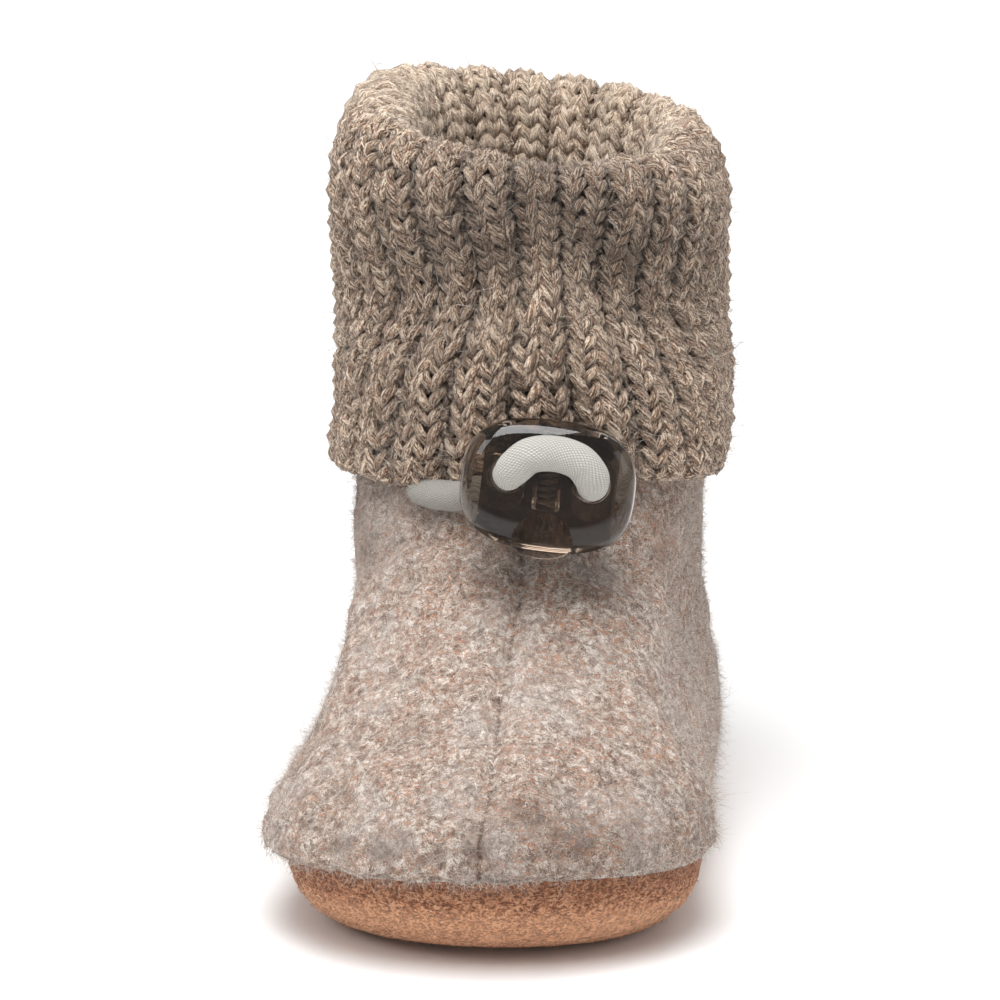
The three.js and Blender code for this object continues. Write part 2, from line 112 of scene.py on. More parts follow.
# Cuff: rings through the bottoms of its rib valleys, from the outer edge over the rim and down the inside
CUFF = table(
    "toe_y toe_z heel_y heel_z toe_radius heel_radius blunt waist fan lean rise",
    (-14.3, 60.0, 60.6, 47.5, 28.2, 27.9, 1, 0, 0.06, 0.0, 6),
    (-14.5, 69.0, 60.8, 62.5, 28.2, 28.0, 1, 0, 0.03, 0.0, 1),
    (-14.2, 79.5, 60.6, 78.5, 28.1, 27.9, 1, 0, -0.04, -0.8, 0),
    (-13.7, 89.5, 60.0, 90.0, 27.9, 27.7, 1, 0, -0.08, -2.0, 0),
    (-12.5, 96.6, 59.2, 97.4, 27.2, 27.0, 1, 0, -0.08, -3.0, 0),
    (-10.1, 101.1, 57.0, 102.0, 25.1, 24.9, 1, 0, -0.06, -3.0, 0),
    (-7.0, 102.8, 54.2, 103.8, 22.3, 22.1, 1, 0, -0.04, -3.0, 0),
    (-4.0, 101.4, 51.4, 102.4, 19.6, 19.4, 1, 0, -0.02, -3.0, 0),
    (-2.0, 97.4, 49.4, 98.4, 17.6, 17.6, 1, 0, 0.0, -3.0, 0),
    (-1.3, 90.5, 48.5, 91.5, 16.7, 16.7, 1, 0, 0.0, -2.0, 0),
    (-1.7, 81.0, 48.9, 81.0, 17.0, 17.0, 1, 0, 0.0, -0.8, 0),
    (-3.4, 69.5, 50.4, 69.5, 18.4, 18.4, 1, 0, 0.0, 0.0, 0),
    (-4.4, 54.0, 51.2, 54.0, 19.2, 19.2, 1, 0, 0.0, 0.0, 0),
)
CUFF_BOTTOM = 12
CUFF_HALF_WIDTH = 29
RISE_CENTRE = 6.5
RISE_HALF_WIDTH = 9
RIBS = 24
KNIT_WALL = 2.5

# Knit: each rib has a purl, two knit and a purl stitch, and each course is one closed strand of yarn
COURSES = 36
COURSE_HEIGHT = 2.25
FIRST_COURSE = -0.5
EDGE_LOOP = 0.4
PURL_SHARE = 0.09
KNIT_SHARE = 0.41
KNIT_POINTS = 12
PURL_POINTS = 6
LOOP_HEIGHT = 1.95
LOOP_LEAN = 0.32
LOOP_DEPTH = 0.75
YARN_RADIUS = 0.78
YARN_SIDES = 5
YARN_TWIST_LENGTH = 12
VALLEY_DEPTH = 2.4
RIDGE_RISE = 2.0
CREASE_CLIMB = 25
CREASE_HALF_HEIGHT = 8
PINCH = 0.19
PINCH_PHASE = 0.045
BROW_CLIMB = 41
SHOULDER_CLIMB = 50
RIM_CLIMB = 58

# Stopper: how it sits on its cord, its shell with slot, holes and notch, its plunger and its spring
STOPPER_CENTRE = np.array([6.5, -23, 60.7])
STOPPER_TILT = math.radians(-15)
STOPPER_ROLL = math.radians(6)
STOPPER_YAW = math.radians(8)
SHELL = dict(width=12.3, depth=5.4, height=9.4, outline_power=2.7, depth_power=4)
SLOT = dict(half_width=9.3, half_depth=3, shoulder_z=5.7, crown_half_width=7.2, crown_z=7.4)
HOLE_X = 5.9
HOLE_Z = 1
HOLE_RADIUS = 2.6
NOTCH_RADIUS = 4.3
NOTCH_Z = -8
TRAVEL = 2.5
BUTTON = dict(half_width=4.4, shoulder_half_width=6.4, shoulder_z=-7.6, tip_z=-10.2)
SLAB_FOOT_Z = -6.2
BORE_RADIUS = 1.95
BORE_FLOOR_Z = -3.4
SPRING = dict(radius=1.35, wire=0.5, coils=10.5)

# Drawcord: its route on both sides of the stopper in the shoe's frame, and its bight in the stopper's own
CORD_DIAMETER = 4.4
CORD_CLEARANCE = 0.35
BIGHT_SWELL = 0.32
STRAIGHT_PAST_SHELL = 1
LEFT_ROUTE = ((-12.2, -1.2, 55.8), (-12.8, -8.8, 56.0), (-9.6, -12.9, 56.3), (-5.4, -15.2, 57.1))
RIGHT_ROUTE = ((13.2, -11.8, 58.2), (14.0, -6.6, 57.0), (13.6, 1.2, 56.4))
BIGHT = ((-5.2, -8.6, 2.2), (-3.4, -9.8, 4.0), (0, -10, 4.7), (3.4, -9.8, 4.0), (5.4, -8.6, 2.2))


# Fixed random fields

def hashed(cell, seed):
    """A fixed random number from 0 to 1 for each whole-numbered place: the bits of its coordinates, mixed."""
    n = cell[..., 0] * 73856093 ^ cell[..., 1] * 19349663 ^ cell[..., 2] * 83492791 ^ seed * 39916801
    n = n & 0xFFFFFFFF
    n = (n ^ n >> 15) * 2246822519 & 0xFFFFFFFF
    n = (n ^ n >> 13) * 3266489917 & 0xFFFFFFFF
    return (n ^ n >> 16) / 2**32


def soft_noise(points, size, seed):
    """Smooth lumps about size across, from -1 to 1: random heights at the corners of a cube lattice, eased
    between."""
    place = points / size
    low = np.floor(place).astype(np.int64)
    ease = place - low
    ease = ease * ease * (3 - 2 * ease)
    total = np.zeros(place.shape[:-1])
    for corner in itertools.product((0, 1), repeat=3):
        weight = np.prod(np.where(corner, ease, 1 - ease), axis=-1)
        total += weight * hashed(low + np.array(corner), seed)
    return 2 * total - 1


def nubs(points, size, seed):
    """Rounded knots about size apart: 1 at each jittered lattice point, falling to 0 one size from it."""
    place = points / size
    low = np.floor(place).astype(np.int64)
    nearest = np.full(place.shape[:-1], 2.0)
    for step in itertools.product((-1, 0, 1), repeat=3):
        cell = low + np.array(step)
        centre = cell + np.stack([hashed(cell, seed + axis) for axis in range(3)], -1)
        nearest = np.minimum(nearest, np.linalg.norm(place - centre, axis=-1))
    return np.clip(1 - nearest, 0, 1)


# Surfaces of the last

def unit(vectors):
    """Vectors at length 1."""
    return vectors / np.maximum(np.linalg.norm(vectors, axis=-1, keepdims=True), 1e-9)


def smooth(value):
    """An ease from 0 to 1 as value goes from 0 to 1."""
    value = np.clip(value, 0, 1)
    return value * value * (3 - 2 * value)


def section_at(rows, at):
    """Each column of a table at fractional rows, on a Catmull-Rom curve through the rows that runs straight
    on before the first."""
    last = len(rows["toe_y"]) - 1
    row = np.clip(np.floor(at).astype(int), 0, last - 1)
    t = np.maximum(at - row, 0)
    before = np.minimum(at, 0)
    found = {}
    for name, column in rows.items():
        a, b, c, d = (column[np.clip(row + k, 0, last)] for k in (-1, 0, 1, 2))
        cubic = b + 0.5 * t * (c - a + t * (2 * a - 5 * b + 4 * c - d + t * (3 * (b - c) + d - a)))
        found[name] = cubic + 0.5 * before * (c - a)
    return found


def toe_lift(y):
    """How far the toe's spring lifts a point off the floor: a parabola from the ball to the toe."""
    share = np.maximum(0, (y - SPRING_FROM) / (SPRING_TO - SPRING_FROM))
    return TOE_SPRING * share * share


def ring_points(ring, turn):
    """Points on a ring: an arc round the toe, a straight side and an arc round the heel. turn goes once
    round, from 0 at the toe by the +X side to 0.5 at the heel, in even steps of length."""
    turned = turn - np.floor(turn)
    side = np.where(turned <= 0.5, 1.0, -1.0)
    toe_centre = ring["toe_y"] + ring["blunt"] * ring["toe_radius"]
    heel_centre = ring["heel_y"] - ring["heel_radius"]
    span = heel_centre - toe_centre
    taper = np.arcsin((ring["toe_radius"] - ring["heel_radius"]) / span)
    toe_arc = ring["toe_radius"] * (math.pi / 2 + taper)
    straight = span * np.cos(taper)
    heel_arc = ring["heel_radius"] * (math.pi / 2 - taper)
    run = 2 * np.minimum(turned, 1 - turned) * (toe_arc + straight + heel_arc)
    share = np.clip((run - toe_arc) / straight, 0, 1)
    radius = ring["toe_radius"] + share * (ring["heel_radius"] - ring["toe_radius"])
    radius = radius - ring["waist"] * np.sin(math.pi * share) ** 2
    on_toe = np.minimum(0, (run - toe_arc) / ring["toe_radius"])
    on_heel = np.maximum(0, (run - toe_arc - straight) / ring["heel_radius"])
    facing = taper + on_toe + on_heel
    x = side * radius * np.cos(facing)
    y = toe_centre + share * span + radius * np.sin(facing) * np.where(facing < 0, ring["blunt"], 1)
    along = (y - ring["toe_y"]) / (ring["heel_y"] - ring["toe_y"])
    z = ring["toe_z"] + (ring["heel_z"] - ring["toe_z"]) * along
    return np.stack(np.broadcast_arrays(x, y, z + toe_lift(y)), -1)


def upper_surface(at, turn):
    """The outside of the wool."""
    return ring_points(section_at(UPPER, at), turn)


def cuff_surface(at, phase):
    """The bottoms of the rib valleys. phase goes once round, with a rib for each of its even parts."""
    ring = section_at(CUFF, at)
    point = ring_points(ring, phase + ring["fan"] * np.sin(TURN * phase) / TURN)
    beside = (point[..., 0] - RISE_CENTRE) / RISE_HALF_WIDTH
    front = np.where(point[..., 1] < 0, np.exp(-beside * beside), 0)
    point[..., 2] += ring["lean"] * point[..., 0] / CUFF_HALF_WIDTH + ring["rise"] * front
    return point


def outward(surface, at, turn):
    """Unit normals of a surface: the slope round it crossed with the slope up it."""
    step = 1e-3
    along = surface(at, turn + step) - surface(at, turn - step)
    up = surface(at + step, turn) - surface(at - step, turn)
    return unit(np.cross(along, up))


# Meshes

def grid_faces(rows, columns, wrap_rows=False, wrap_columns=False):
    """The four corners of each cell of a grid, row by row. They face along the column step crossed with the
    row step."""
    r = np.arange(rows if wrap_rows else rows - 1)
    c = np.arange(columns if wrap_columns else columns - 1)
    r, c = np.meshgrid(r, c, indexing="ij")
    below = (r + 1) % rows
    beside = (c + 1) % columns
    corners = (r * columns + c, r * columns + beside, below * columns + beside, below * columns + c)
    return np.stack(corners, -1).reshape(-1, 4)


def grid_map(across, up):
    """The corner coordinates of each cell of a grid whose lines lie at these distances across and up."""
    u0, v0 = np.meshgrid(across[:-1], up[:-1])
    u1, v1 = np.meshgrid(across[1:], up[1:])
    corners = (u0, v0, u1, v0, u1, v1, u0, v1)
    return np.stack(corners, -1).reshape(-1, 2)


def mesh_of(name, points, *faces, uv=None, fields=None):
    """A mesh from points in millimetres and arrays of faces, with corner coordinates and named values of its
    points."""
    mesh = bpy.data.meshes.new(name)
    corners = np.concatenate([f.ravel() for f in faces])
    sizes = np.concatenate([np.full(len(f), f.shape[1]) for f in faces])
    starts = np.concatenate([[0], np.cumsum(sizes)[:-1]])
    mesh.vertices.add(len(points))
    mesh.vertices.foreach_set("co", (np.asarray(points) * MM).astype(np.float32).ravel())
    mesh.loops.add(len(corners))
    mesh.loops.foreach_set("vertex_index", corners.astype(np.int32))
    mesh.polygons.add(len(sizes))
    mesh.polygons.foreach_set("loop_start", starts.astype(np.int32))
    mesh.update(calc_edges=True)
    if uv is not None:
        mesh.uv_layers.new(name="weave").data.foreach_set("uv", uv.astype(np.float32).ravel())
    for field, values in (fields or {}).items():
        kind, key = ("FLOAT", "value") if values.ndim == 1 else ("FLOAT_VECTOR", "vector")
        data = mesh.attributes.new(field, kind, "POINT").data
        data.foreach_set(key, values.astype(np.float32).ravel())
    mesh.shade_smooth()
    return mesh


def place(mesh, material, slot, *nodes, body="slipper"):
    """An object for a mesh, with its material, riding on a body and standing for the nodes it replaces."""
    piece = bpy.data.objects.new(mesh.name, mesh)
    bpy.context.scene.collection.objects.link(piece)
    mesh.materials.append(material)
    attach(piece, body)
    if nodes:
        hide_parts(*nodes)
    return piece


def welded(mesh, distance=1e-6):
    """The mesh with points that lie in one place merged, and flat cells dropped."""
    work = bmesh.new()
    work.from_mesh(mesh)
    bmesh.ops.remove_doubles(work, verts=work.verts, dist=distance)
    bmesh.ops.dissolve_degenerate(work, edges=work.edges, dist=distance)
    work.to_mesh(mesh)
    work.free()
    return mesh


def tube(path, normals, radius, sides, closed=False):
    """Rings of points round a path: the path plus radius times the cosine along its normal and the sine
    beside it."""
    if closed:
        tangent = np.roll(path, -1, -2) - np.roll(path, 1, -2)
    else:
        tangent = np.gradient(path, axis=-2)
    tangent = unit(tangent)
    normal = unit(normals - np.sum(normals * tangent, -1, keepdims=True) * tangent)
    beside = np.cross(tangent, normal)
    angle = TURN * np.arange(sides)[:, None] / sides
    ring = np.cos(angle) * normal[..., None, :] + np.sin(angle) * beside[..., None, :]
    return path[..., None, :] + np.asarray(radius)[..., None, None] * ring


def scattered(points, normals, count, rng, weight=1.0):
    """Places spread evenly by area over a grid that closes round, with the normals there."""
    across = np.roll(points, -1, 1) - points
    area = np.linalg.norm(np.cross(across[:-1], points[1:] - points[:-1]), axis=-1) * weight
    chance = np.cumsum(area)
    cell = np.searchsorted(chance, rng.random(count) * chance[-1])
    r, c = np.divmod(cell, points.shape[1])
    beside = (c + 1) % points.shape[1]
    s, t = rng.random((2, count, 1))
    low = points[r, c] * (1 - s) + points[r, beside] * s
    high = points[r + 1, c] * (1 - s) + points[r + 1, beside] * s
    return low * (1 - t) + high * t, normals[r, c]


def hair_mesh(name, roots, aims, lengths, radius, rng, bend=0.6, curl=0.1, segments=4, shade=0.0):
    """Hairs: each runs from its root along its aim, swings to one side with the square of the way along it
    and waves a little. It is three-sided, thins towards its tip and ends in a point. shade darkens it, for
    grey wear and for painted shade."""
    count = len(roots)
    side = unit(np.cross(aims, rng.normal(size=(count, 3))))
    other = np.cross(aims, side)
    s = np.linspace(0, 1, segments + 1)[None, :, None]
    wave = np.sin(TURN * (s * rng.uniform(0.6, 1.4, (count, 1, 1)) + rng.random((count, 1, 1)))) * s
    swing = bend * rng.normal(1, 0.4, (count, 1, 1)) * s * s
    shape = s * aims[:, None] + swing * side[:, None] + curl * wave * other[:, None]
    path = roots[:, None] + lengths[:, None, None] * shape
    width = radius * (1 - 0.55 * s[0, :-1, 0])
    width = np.broadcast_to(width, (count, segments))
    rings = tube(path, np.broadcast_to(other[:, None], path.shape), np.ones((count, segments + 1)), 3)
    rings = path[:, :-1, None] + (rings[:, :-1] - path[:, :-1, None]) * width[..., None, None]
    points = np.concatenate([rings.reshape(count, -1, 3), path[:, -1:]], 1)
    start = np.arange(count)[:, None, None] * points.shape[1]
    sides = (start + grid_faces(segments, 3, wrap_columns=True)[None]).reshape(-1, 4)
    last = 3 * (segments - 1)
    tips = np.array([[last + k, last + (k + 1) % 3, last + 3] for k in range(3)] + [[0, 2, 1]])
    tips = (start + tips[None]).reshape(-1, 3)
    tone = np.repeat(rng.random(count) * (1 - shade), points.shape[1])
    return mesh_of(name, points.reshape(-1, 3), sides, tips, fields={"tone": tone})


# Materials

class Socket:
    """An output of a node. Python's operators on it add Math nodes."""

    def __init__(self, paint, output):
        self.paint = paint
        self.output = output

    def math(self, operation, *others):
        return self.paint.node("ShaderNodeMath", {"operation": operation}, dict(enumerate((self, *others))))

    def __add__(self, other):
        return self.math("ADD", other)

    def __sub__(self, other):
        return self.math("SUBTRACT", other)

    def __mul__(self, other):
        return self.math("MULTIPLY", other)

    def __rsub__(self, other):
        return self.paint.node("ShaderNodeMath", {"operation": "SUBTRACT"}, {0: other, 1: self})

    __radd__ = __add__
    __rmul__ = __mul__

    def between(self, low, high):
        """0 below low, 1 above high, and an ease between."""
        settings = {"interpolation_type": "SMOOTHSTEP"}
        sockets = {"Value": self, "From Min": low, "From Max": high}
        return self.paint.node("ShaderNodeMapRange", settings, sockets)


class Paint:
    """A material with one Principled shader, and the nodes that feed it."""

    def __init__(self, name, **constants):
        self.material = bpy.data.materials.new(name)
        self.material.use_nodes = True
        self.tree = self.material.node_tree
        self.shader = self.tree.nodes["Principled BSDF"]
        self.set(**constants)

    def set(self, **sockets):
        """Feeds the shader's own sockets, named with underscores for spaces."""
        for name, value in sockets.items():
            self.feed(self.shader.inputs[name.replace("_", " ")], value)

    def feed(self, socket, value):
        if isinstance(value, Socket):
            self.tree.links.new(value.output, socket)
        else:
            socket.default_value = value

    def node(self, kind, settings=None, sockets=None, output=0):
        """Any node: its settings first, then the values or links of its sockets."""
        made = self.tree.nodes.new(kind)
        for name, value in (settings or {}).items():
            if name == "stops":
                while len(made.color_ramp.elements) < len(value):
                    made.color_ramp.elements.new(0.5)
                for element, (position, colour) in zip(made.color_ramp.elements, value):
                    element.position = position
                    element.color = (*colour, 1)
            else:
                setattr(made, name, value)
        for name, value in (sockets or {}).items():
            self.feed(made.inputs[name], value)
        return Socket(self, made.outputs[output])

    def field(self, name, output=1):
        """A named value of the mesh's points: 1 for a vector, 2 for a number."""
        return self.node("ShaderNodeAttribute", {"attribute_name": name}, output=output)

    def weave(self):
        """The mesh's own corner coordinates, in millimetres."""
        return self.node("ShaderNodeUVMap", {"uv_map": "weave"})

    def shoe(self):
        """The place in the shoe's frame, in millimetres."""
        place_m = self.node("ShaderNodeTexCoord", output=3)
        return self.node("ShaderNodeVectorMath", {"operation": "SCALE"}, {0: place_m, "Scale": 1 / MM})

    def stretched(self, place_mm, sizes, turn=(0, 0, 0), shift=0.0):
        """Coordinates turned about the axes and then divided by a size along each."""
        sockets = {"Vector": place_mm, "Location": (shift, shift, shift), "Rotation": turn, "Scale": sizes}
        return self.node("ShaderNodeMapping", {"vector_type": "TEXTURE"}, sockets)

    def noise(self, place_mm, size=1.0, detail=2.0, roughness=0.5, distortion=0.0):
        """Smooth noise about size across, from 0 to 1."""
        sockets = {"Vector": place_mm, "Scale": 1 / size, "Detail": detail, "Roughness": roughness}
        return self.node("ShaderNodeTexNoise", {}, {**sockets, "Distortion": distortion})

    def cells(self, place_mm, size, feature="F1"):
        """The distance to the nearest of points scattered about size apart, in sizes."""
        sockets = {"Vector": place_mm, "Scale": 1 / size}
        return self.node("ShaderNodeTexVoronoi", {"feature": feature}, sockets)

    def ramp(self, value, *stops):
        """A colour from a value, by stops of (place, colour)."""
        return self.node("ShaderNodeValToRGB", {"stops": stops}, {"Fac": value})

    def mix(self, factor, a, b, blend="MIX"):
        """Two colours mixed by a factor."""
        settings = {"data_type": "RGBA", "blend_type": blend}
        colours = [c if isinstance(c, Socket) else (*c, 1) for c in (a, b)]
        return self.node("ShaderNodeMix", settings, {0: factor, 6: colours[0], 7: colours[1]}, output=2)

    def bump(self, height, depth, normal=None):
        """A normal from a height of 0 to 1 that stands depth millimetres high."""
        sockets = {"Height": height, "Distance": depth * MM}
        if normal is not None:
            sockets["Normal"] = normal
        return self.node("ShaderNodeBump", {}, sockets)

    def wandering(self, place_mm, size, reach):
        """Coordinates pushed about by up to reach, in lumps of a size."""
        settings = {"noise_dimensions": "3D"}
        push = self.node("ShaderNodeTexNoise", settings, {"Vector": place_mm, "Scale": 1 / size}, output=1)
        centred = self.node("ShaderNodeVectorMath", {"operation": "SUBTRACT"}, {0: push, 1: (0.5, 0.5, 0.5)})
        scaled = self.node("ShaderNodeVectorMath", {"operation": "SCALE"}, {0: centred, "Scale": 2 * reach})
        return self.node("ShaderNodeVectorMath", {"operation": "ADD"}, {0: place_mm, 1: scaled})

    def fibres(self, place_mm, turns, length, width):
        """Fine streaks in several directions: noise stretched along each, the strongest one showing."""
        strongest = None
        for number, turn in enumerate(turns):
            along = self.stretched(place_mm, (length, width, width), turn, 17.3 * number)
            streak = self.noise(along, 1, 2)
            strongest = streak if strongest is None else strongest.math("MAXIMUM", streak)
        return strongest


# The directions that felted fibres run in, as turns about X, Y and Z
FIBRE_TURNS = ((0, -0.35, 0.3), (0, -1.35, 0.4), (0, 0.75, -0.3), (0, 0.3, 1.4))


def yarn_paint():
    """Wool yarn: fibres of mixed taupes that run along the strand and wind round it. Painted shade darkens
    strands that lie deep and the cuff's front under the rim's overhang; painted light lightens the strands
    that stand out, the edge, the sides, the rim and the inside.
    """
    paint = Paint("rib_knit_yarn", Roughness=0.85, Sheen_Weight=0.2)
    strand = paint.field("strand")
    fibre = paint.noise(paint.stretched(strand, (4.4, 0.10, 0.10)), 1, 2, 0.6)
    ply = paint.noise(paint.stretched(strand, (7, 0.28, 0.28), shift=9), 1, 1)
    blotch = paint.noise(paint.stretched(strand, (14, 3, 3), shift=31), 1, 1)
    # proud: how far a strand stands out, raised at the edge, the sides, the rim and inside so that painted
    # light falls there
    proud = paint.field("proud", 2)
    # painted light where strands stand out, mostly on the rim and inside, used in the ramp and in a mix below
    painted_light = proud.between(0.8, 2.6)
    colour = paint.ramp(
        fibre * 0.58 + ply * 0.42 + painted_light * 0.022,
        (0.43, (0.050, 0.023, 0.012)),
        (0.472, (0.222, 0.130, 0.076)),
        (0.52, (0.466, 0.318, 0.207)),
        (0.556, (0.940, 0.782, 0.615)),
    )
    russet = paint.noise(paint.stretched(strand, (4, 0.25, 0.25), shift=57), 1, 1).between(0.54, 0.66)
    colour = paint.mix(russet * 0.6, colour, (0.42, 0.215, 0.130))
    colour = paint.mix(blotch.between(0.45, 0.68) * 0.35, colour, (0.150, 0.098, 0.066))
    # painted shade where strands lie deep between their neighbours
    colour = paint.mix((1 - proud.between(-1.9, 0.6)) * 0.8, colour, (0.045, 0.027, 0.017))
    # painted light on the strands that stand out, the rim and the inside
    colour = paint.mix(painted_light * 0.20, colour, (0.82, 0.697, 0.55))
    # painted shade: the cuff's front under the rim's overhang, multiplied darker
    colour = paint.mix(paint.field("sunk", 2), colour, (0.43, 0.41, 0.39), "MULTIPLY")
    paint.set(Base_Color=colour, Normal=paint.bump(fibre + ply, 0.3))
    return paint.material


def core_paint():
    """The inside of the knit: near black as painted shade where it shows between its strands, and taupe where
    it is bare, low in the leg.
    """
    paint = Paint("rib_knit_core", Roughness=1.0)
    fuzz = paint.noise(paint.shoe(), 0.5, 2)
    # painted shade: the wall under the strands is near black where it shows between them
    dark = paint.ramp(fuzz, (0.35, (0.016, 0.011, 0.008)), (0.65, (0.06, 0.044, 0.032)))
    taupe = paint.ramp(fuzz, (0.35, (0.17, 0.120, 0.088)), (0.65, (0.46, 0.36, 0.275)))
    paint.set(Base_Color=paint.mix(paint.field("bare", 2), dark, taupe), Normal=paint.bump(fuzz, 0.3))
    return paint.material


def hair_paint(name, *stops):
    """Single wool fibres, each with a tone of its own."""
    paint = Paint(name, Roughness=0.6, Sheen_Weight=0.2)
    paint.set(Base_Color=paint.ramp(paint.field("tone", 2), *stops))
    return paint.material


def wool_paint():
    """Boiled wool: fine fibres felted in every direction, in light beige with rusty and grey ones in patches,
    darker where the toe is worn grey. Painted shade darkens it between its curls and under the cuff, and it
    is darker low on the toe's front."""
    paint = Paint("boiled_wool", Roughness=0.95, Sheen_Weight=0.06)
    cloth = paint.shoe()
    bent = paint.wandering(cloth, 2.2, 0.65)
    fibre = paint.fibres(bent, FIBRE_TURNS, 1.8, 0.09)
    tuft = paint.noise(bent, 0.95, 3, 0.6, 0.5)
    nub = paint.cells(bent, 1.3, "SMOOTH_F1")
    patch = paint.noise(cloth, 3.6, 2, 0.55, 0.4)
    cloud = paint.noise(cloth, 13, 2, 0.5)
    colour = paint.ramp(
        fibre * 0.66 + tuft * 0.28 - nub * 0.06 + 0.01,
        (0.452, (0.100, 0.054, 0.040)),
        (0.498, (0.340, 0.245, 0.192)),
        (0.545, (0.590, 0.494, 0.420)),
        (0.585, (0.900, 0.836, 0.776)),
    )
    fleck = paint.noise(paint.stretched(bent, (1.3, 0.32, 0.32), (0, 0.5, 0.4)), 1, 2, 0.6)
    rust = fleck.between(0.50, 0.62) * patch.between(0.38, 0.56)
    colour = paint.mix(rust * 0.9, colour, (0.47, 0.235, 0.138))
    dusk = paint.noise(paint.stretched(bent, (1, 1, 1), shift=41), 1.4, 2).between(0.54, 0.66)
    colour = paint.mix(dusk * 0.34, colour, (0.20, 0.135, 0.105))
    # painted shade in the hollows between the curls
    colour = paint.mix(paint.field("gap", 2), colour, (0.17, 0.120, 0.096))
    colour = paint.mix(cloud.between(0.45, 0.62) * 0.2, colour, (0.58, 0.555, 0.53))
    # dark specks, thicker where the wool is grey, and so also in the painted shade under the cuff
    speck = (paint.field("grey", 2) * 0.35 + tuft + fibre * 0.5).between(0.98, 1.16)
    colour = paint.mix(speck * 0.65, colour, (0.085, 0.064, 0.056))
    # painted shade under the cuff, more on the left, and darker low on the toe's front
    colour = paint.mix(paint.field("dull", 2), colour, (0.40, 0.37, 0.35), "MULTIPLY")
    colour = paint.mix(seam_line(paint, tuft), colour, (0.075, 0.048, 0.036))
    relief = paint.bump(1 - nub, 0.35)
    paint.set(Base_Color=colour, Normal=paint.bump(fibre * 0.4 + tuft, 0.4, relief))
    return paint.material


def seam_line(paint, tuft):
    """The thin dark line of the seam, by the distance from its middle, broken by tufts of wool."""
    x, y = (paint.node("ShaderNodeSeparateXYZ", {}, {0: paint.shoe()}, output=axis) for axis in (0, 1))
    middle = y * SEAM_SLANT + SEAM_X
    for reach, turn, start in SEAM_WAVES:
        middle = middle + (y * turn + start).math("SINE") * reach
    line = 1 - (x - middle).math("ABSOLUTE").between(0.10, 0.50)
    toe = 0.9 - y.between(-62, -50) * 0.3
    return line * (1 - y.between(-14, -8)) * toe * (1 - tuft.between(0.43, 0.59) * 0.85)


def suede_paint():
    """Suede: short nap in clumps, with painted light low on its edge and painted shade high on it, under the
    wool.
    """
    paint = Paint("suede", Roughness=0.95, Sheen_Weight=0.08)
    place_mm = paint.shoe()
    nap = paint.noise(paint.stretched(place_mm, (0.46, 0.46, 0.33)), 1, 3, 0.65)
    clump = paint.noise(place_mm, 1.1, 3, 0.6, 0.5)
    patch = paint.noise(place_mm, 9, 2)
    colour = paint.ramp(
        nap * 0.65 + clump * 0.35,
        (0.43, (0.150, 0.045, 0.017)),
        (0.475, (0.500, 0.195, 0.088)),
        (0.525, (0.750, 0.342, 0.172)),
        (0.58, (0.990, 0.575, 0.340)),
    )
    colour = paint.mix(patch.between(0.4, 0.7) * 0.2, colour, (0.74, 0.35, 0.185))
    fleck = paint.noise(paint.stretched(place_mm, (0.8, 0.8, 0.4), shift=23), 1, 2, 0.6).between(0.57, 0.66)
    brushed = paint.field("brushed", 2)
    # dark flecks, fewer low on the edge, with the painted light there
    colour = paint.mix(fleck * (0.8 - brushed * 0.65), colour, (0.15, 0.050, 0.021))
    # painted shade high on the edge, under the wool's overhang
    colour = paint.mix((1 - brushed) * 0.62, colour, (0.24, 0.082, 0.033))
    # painted light low on the edge
    colour = paint.mix(brushed.between(0.5, 1.0) * 0.4, colour, (0.92, 0.495, 0.285))
    paint.set(Base_Color=colour, Normal=paint.bump(nap + clump - fleck * 0.5, 0.8))
    return paint.material


def footbed_paint():
    """Plain pressed wool felt."""
    paint = Paint("footbed_felt", Roughness=1.0, Sheen_Weight=0.3)
    place_mm = paint.shoe()
    fibre = paint.fibres(paint.wandering(place_mm, 3, 1), FIBRE_TURNS, 2, 0.25)
    paint.set(Base_Color=paint.ramp(fibre, (0.42, (0.22, 0.17, 0.14)), (0.66, (0.55, 0.47, 0.40))))
    paint.set(Normal=paint.bump(fibre, 0.2))
    return paint.material


def cord_paint():
    """A fine braid over elastic: small raised dashes in rows that lean with the braid, with painted shade
    where it runs back under the cuff behind the stopper."""
    paint = Paint("elastic_braid", Roughness=0.8, Sheen_Weight=0.2)
    braid = paint.weave()
    left = {"Vector": paint.stretched(braid, (1, 1, 1), (0, 0, 0.45)), "Scale": 0.95}
    right = {"Vector": paint.stretched(braid, (1, 1, 1), (0, 0, -0.9)), "Scale": 0.95}
    knot = paint.node("ShaderNodeTexWave", {}, left) * paint.node("ShaderNodeTexWave", {}, right)
    soil = paint.noise(braid, 1.6, 2)
    colour = paint.ramp(knot, (0.0, (0.34, 0.325, 0.295)), (0.35, (0.66, 0.645, 0.60)))
    colour = paint.mix(soil.between(0.4, 0.7) * 0.3, colour, (0.44, 0.42, 0.375))
    # painted shade where the cord runs back under the cuff
    colour = paint.mix(paint.field("tucked", 2) * 0.6, colour, (0.20, 0.180, 0.155))
    paint.set(Base_Color=colour, Normal=paint.bump(knot, 0.15))
    return paint.material


def smoke_paint(name, tint, bend):
    """See-through smoke-brown plastic with a glossy moulded face, which lets a tint of the light through
    and bends it by its refractive index."""
    paint = Paint(
        name,
        Base_Color=(*tint, 1),
        Transmission_Weight=1.0,
        IOR=bend,
        Specular_IOR_Level=0.5,
    )
    haze = paint.noise(paint.shoe(), 2.4, 3)
    paint.set(Roughness=haze.between(0.35, 0.8) * 0.03 + 0.015)
    return paint.material


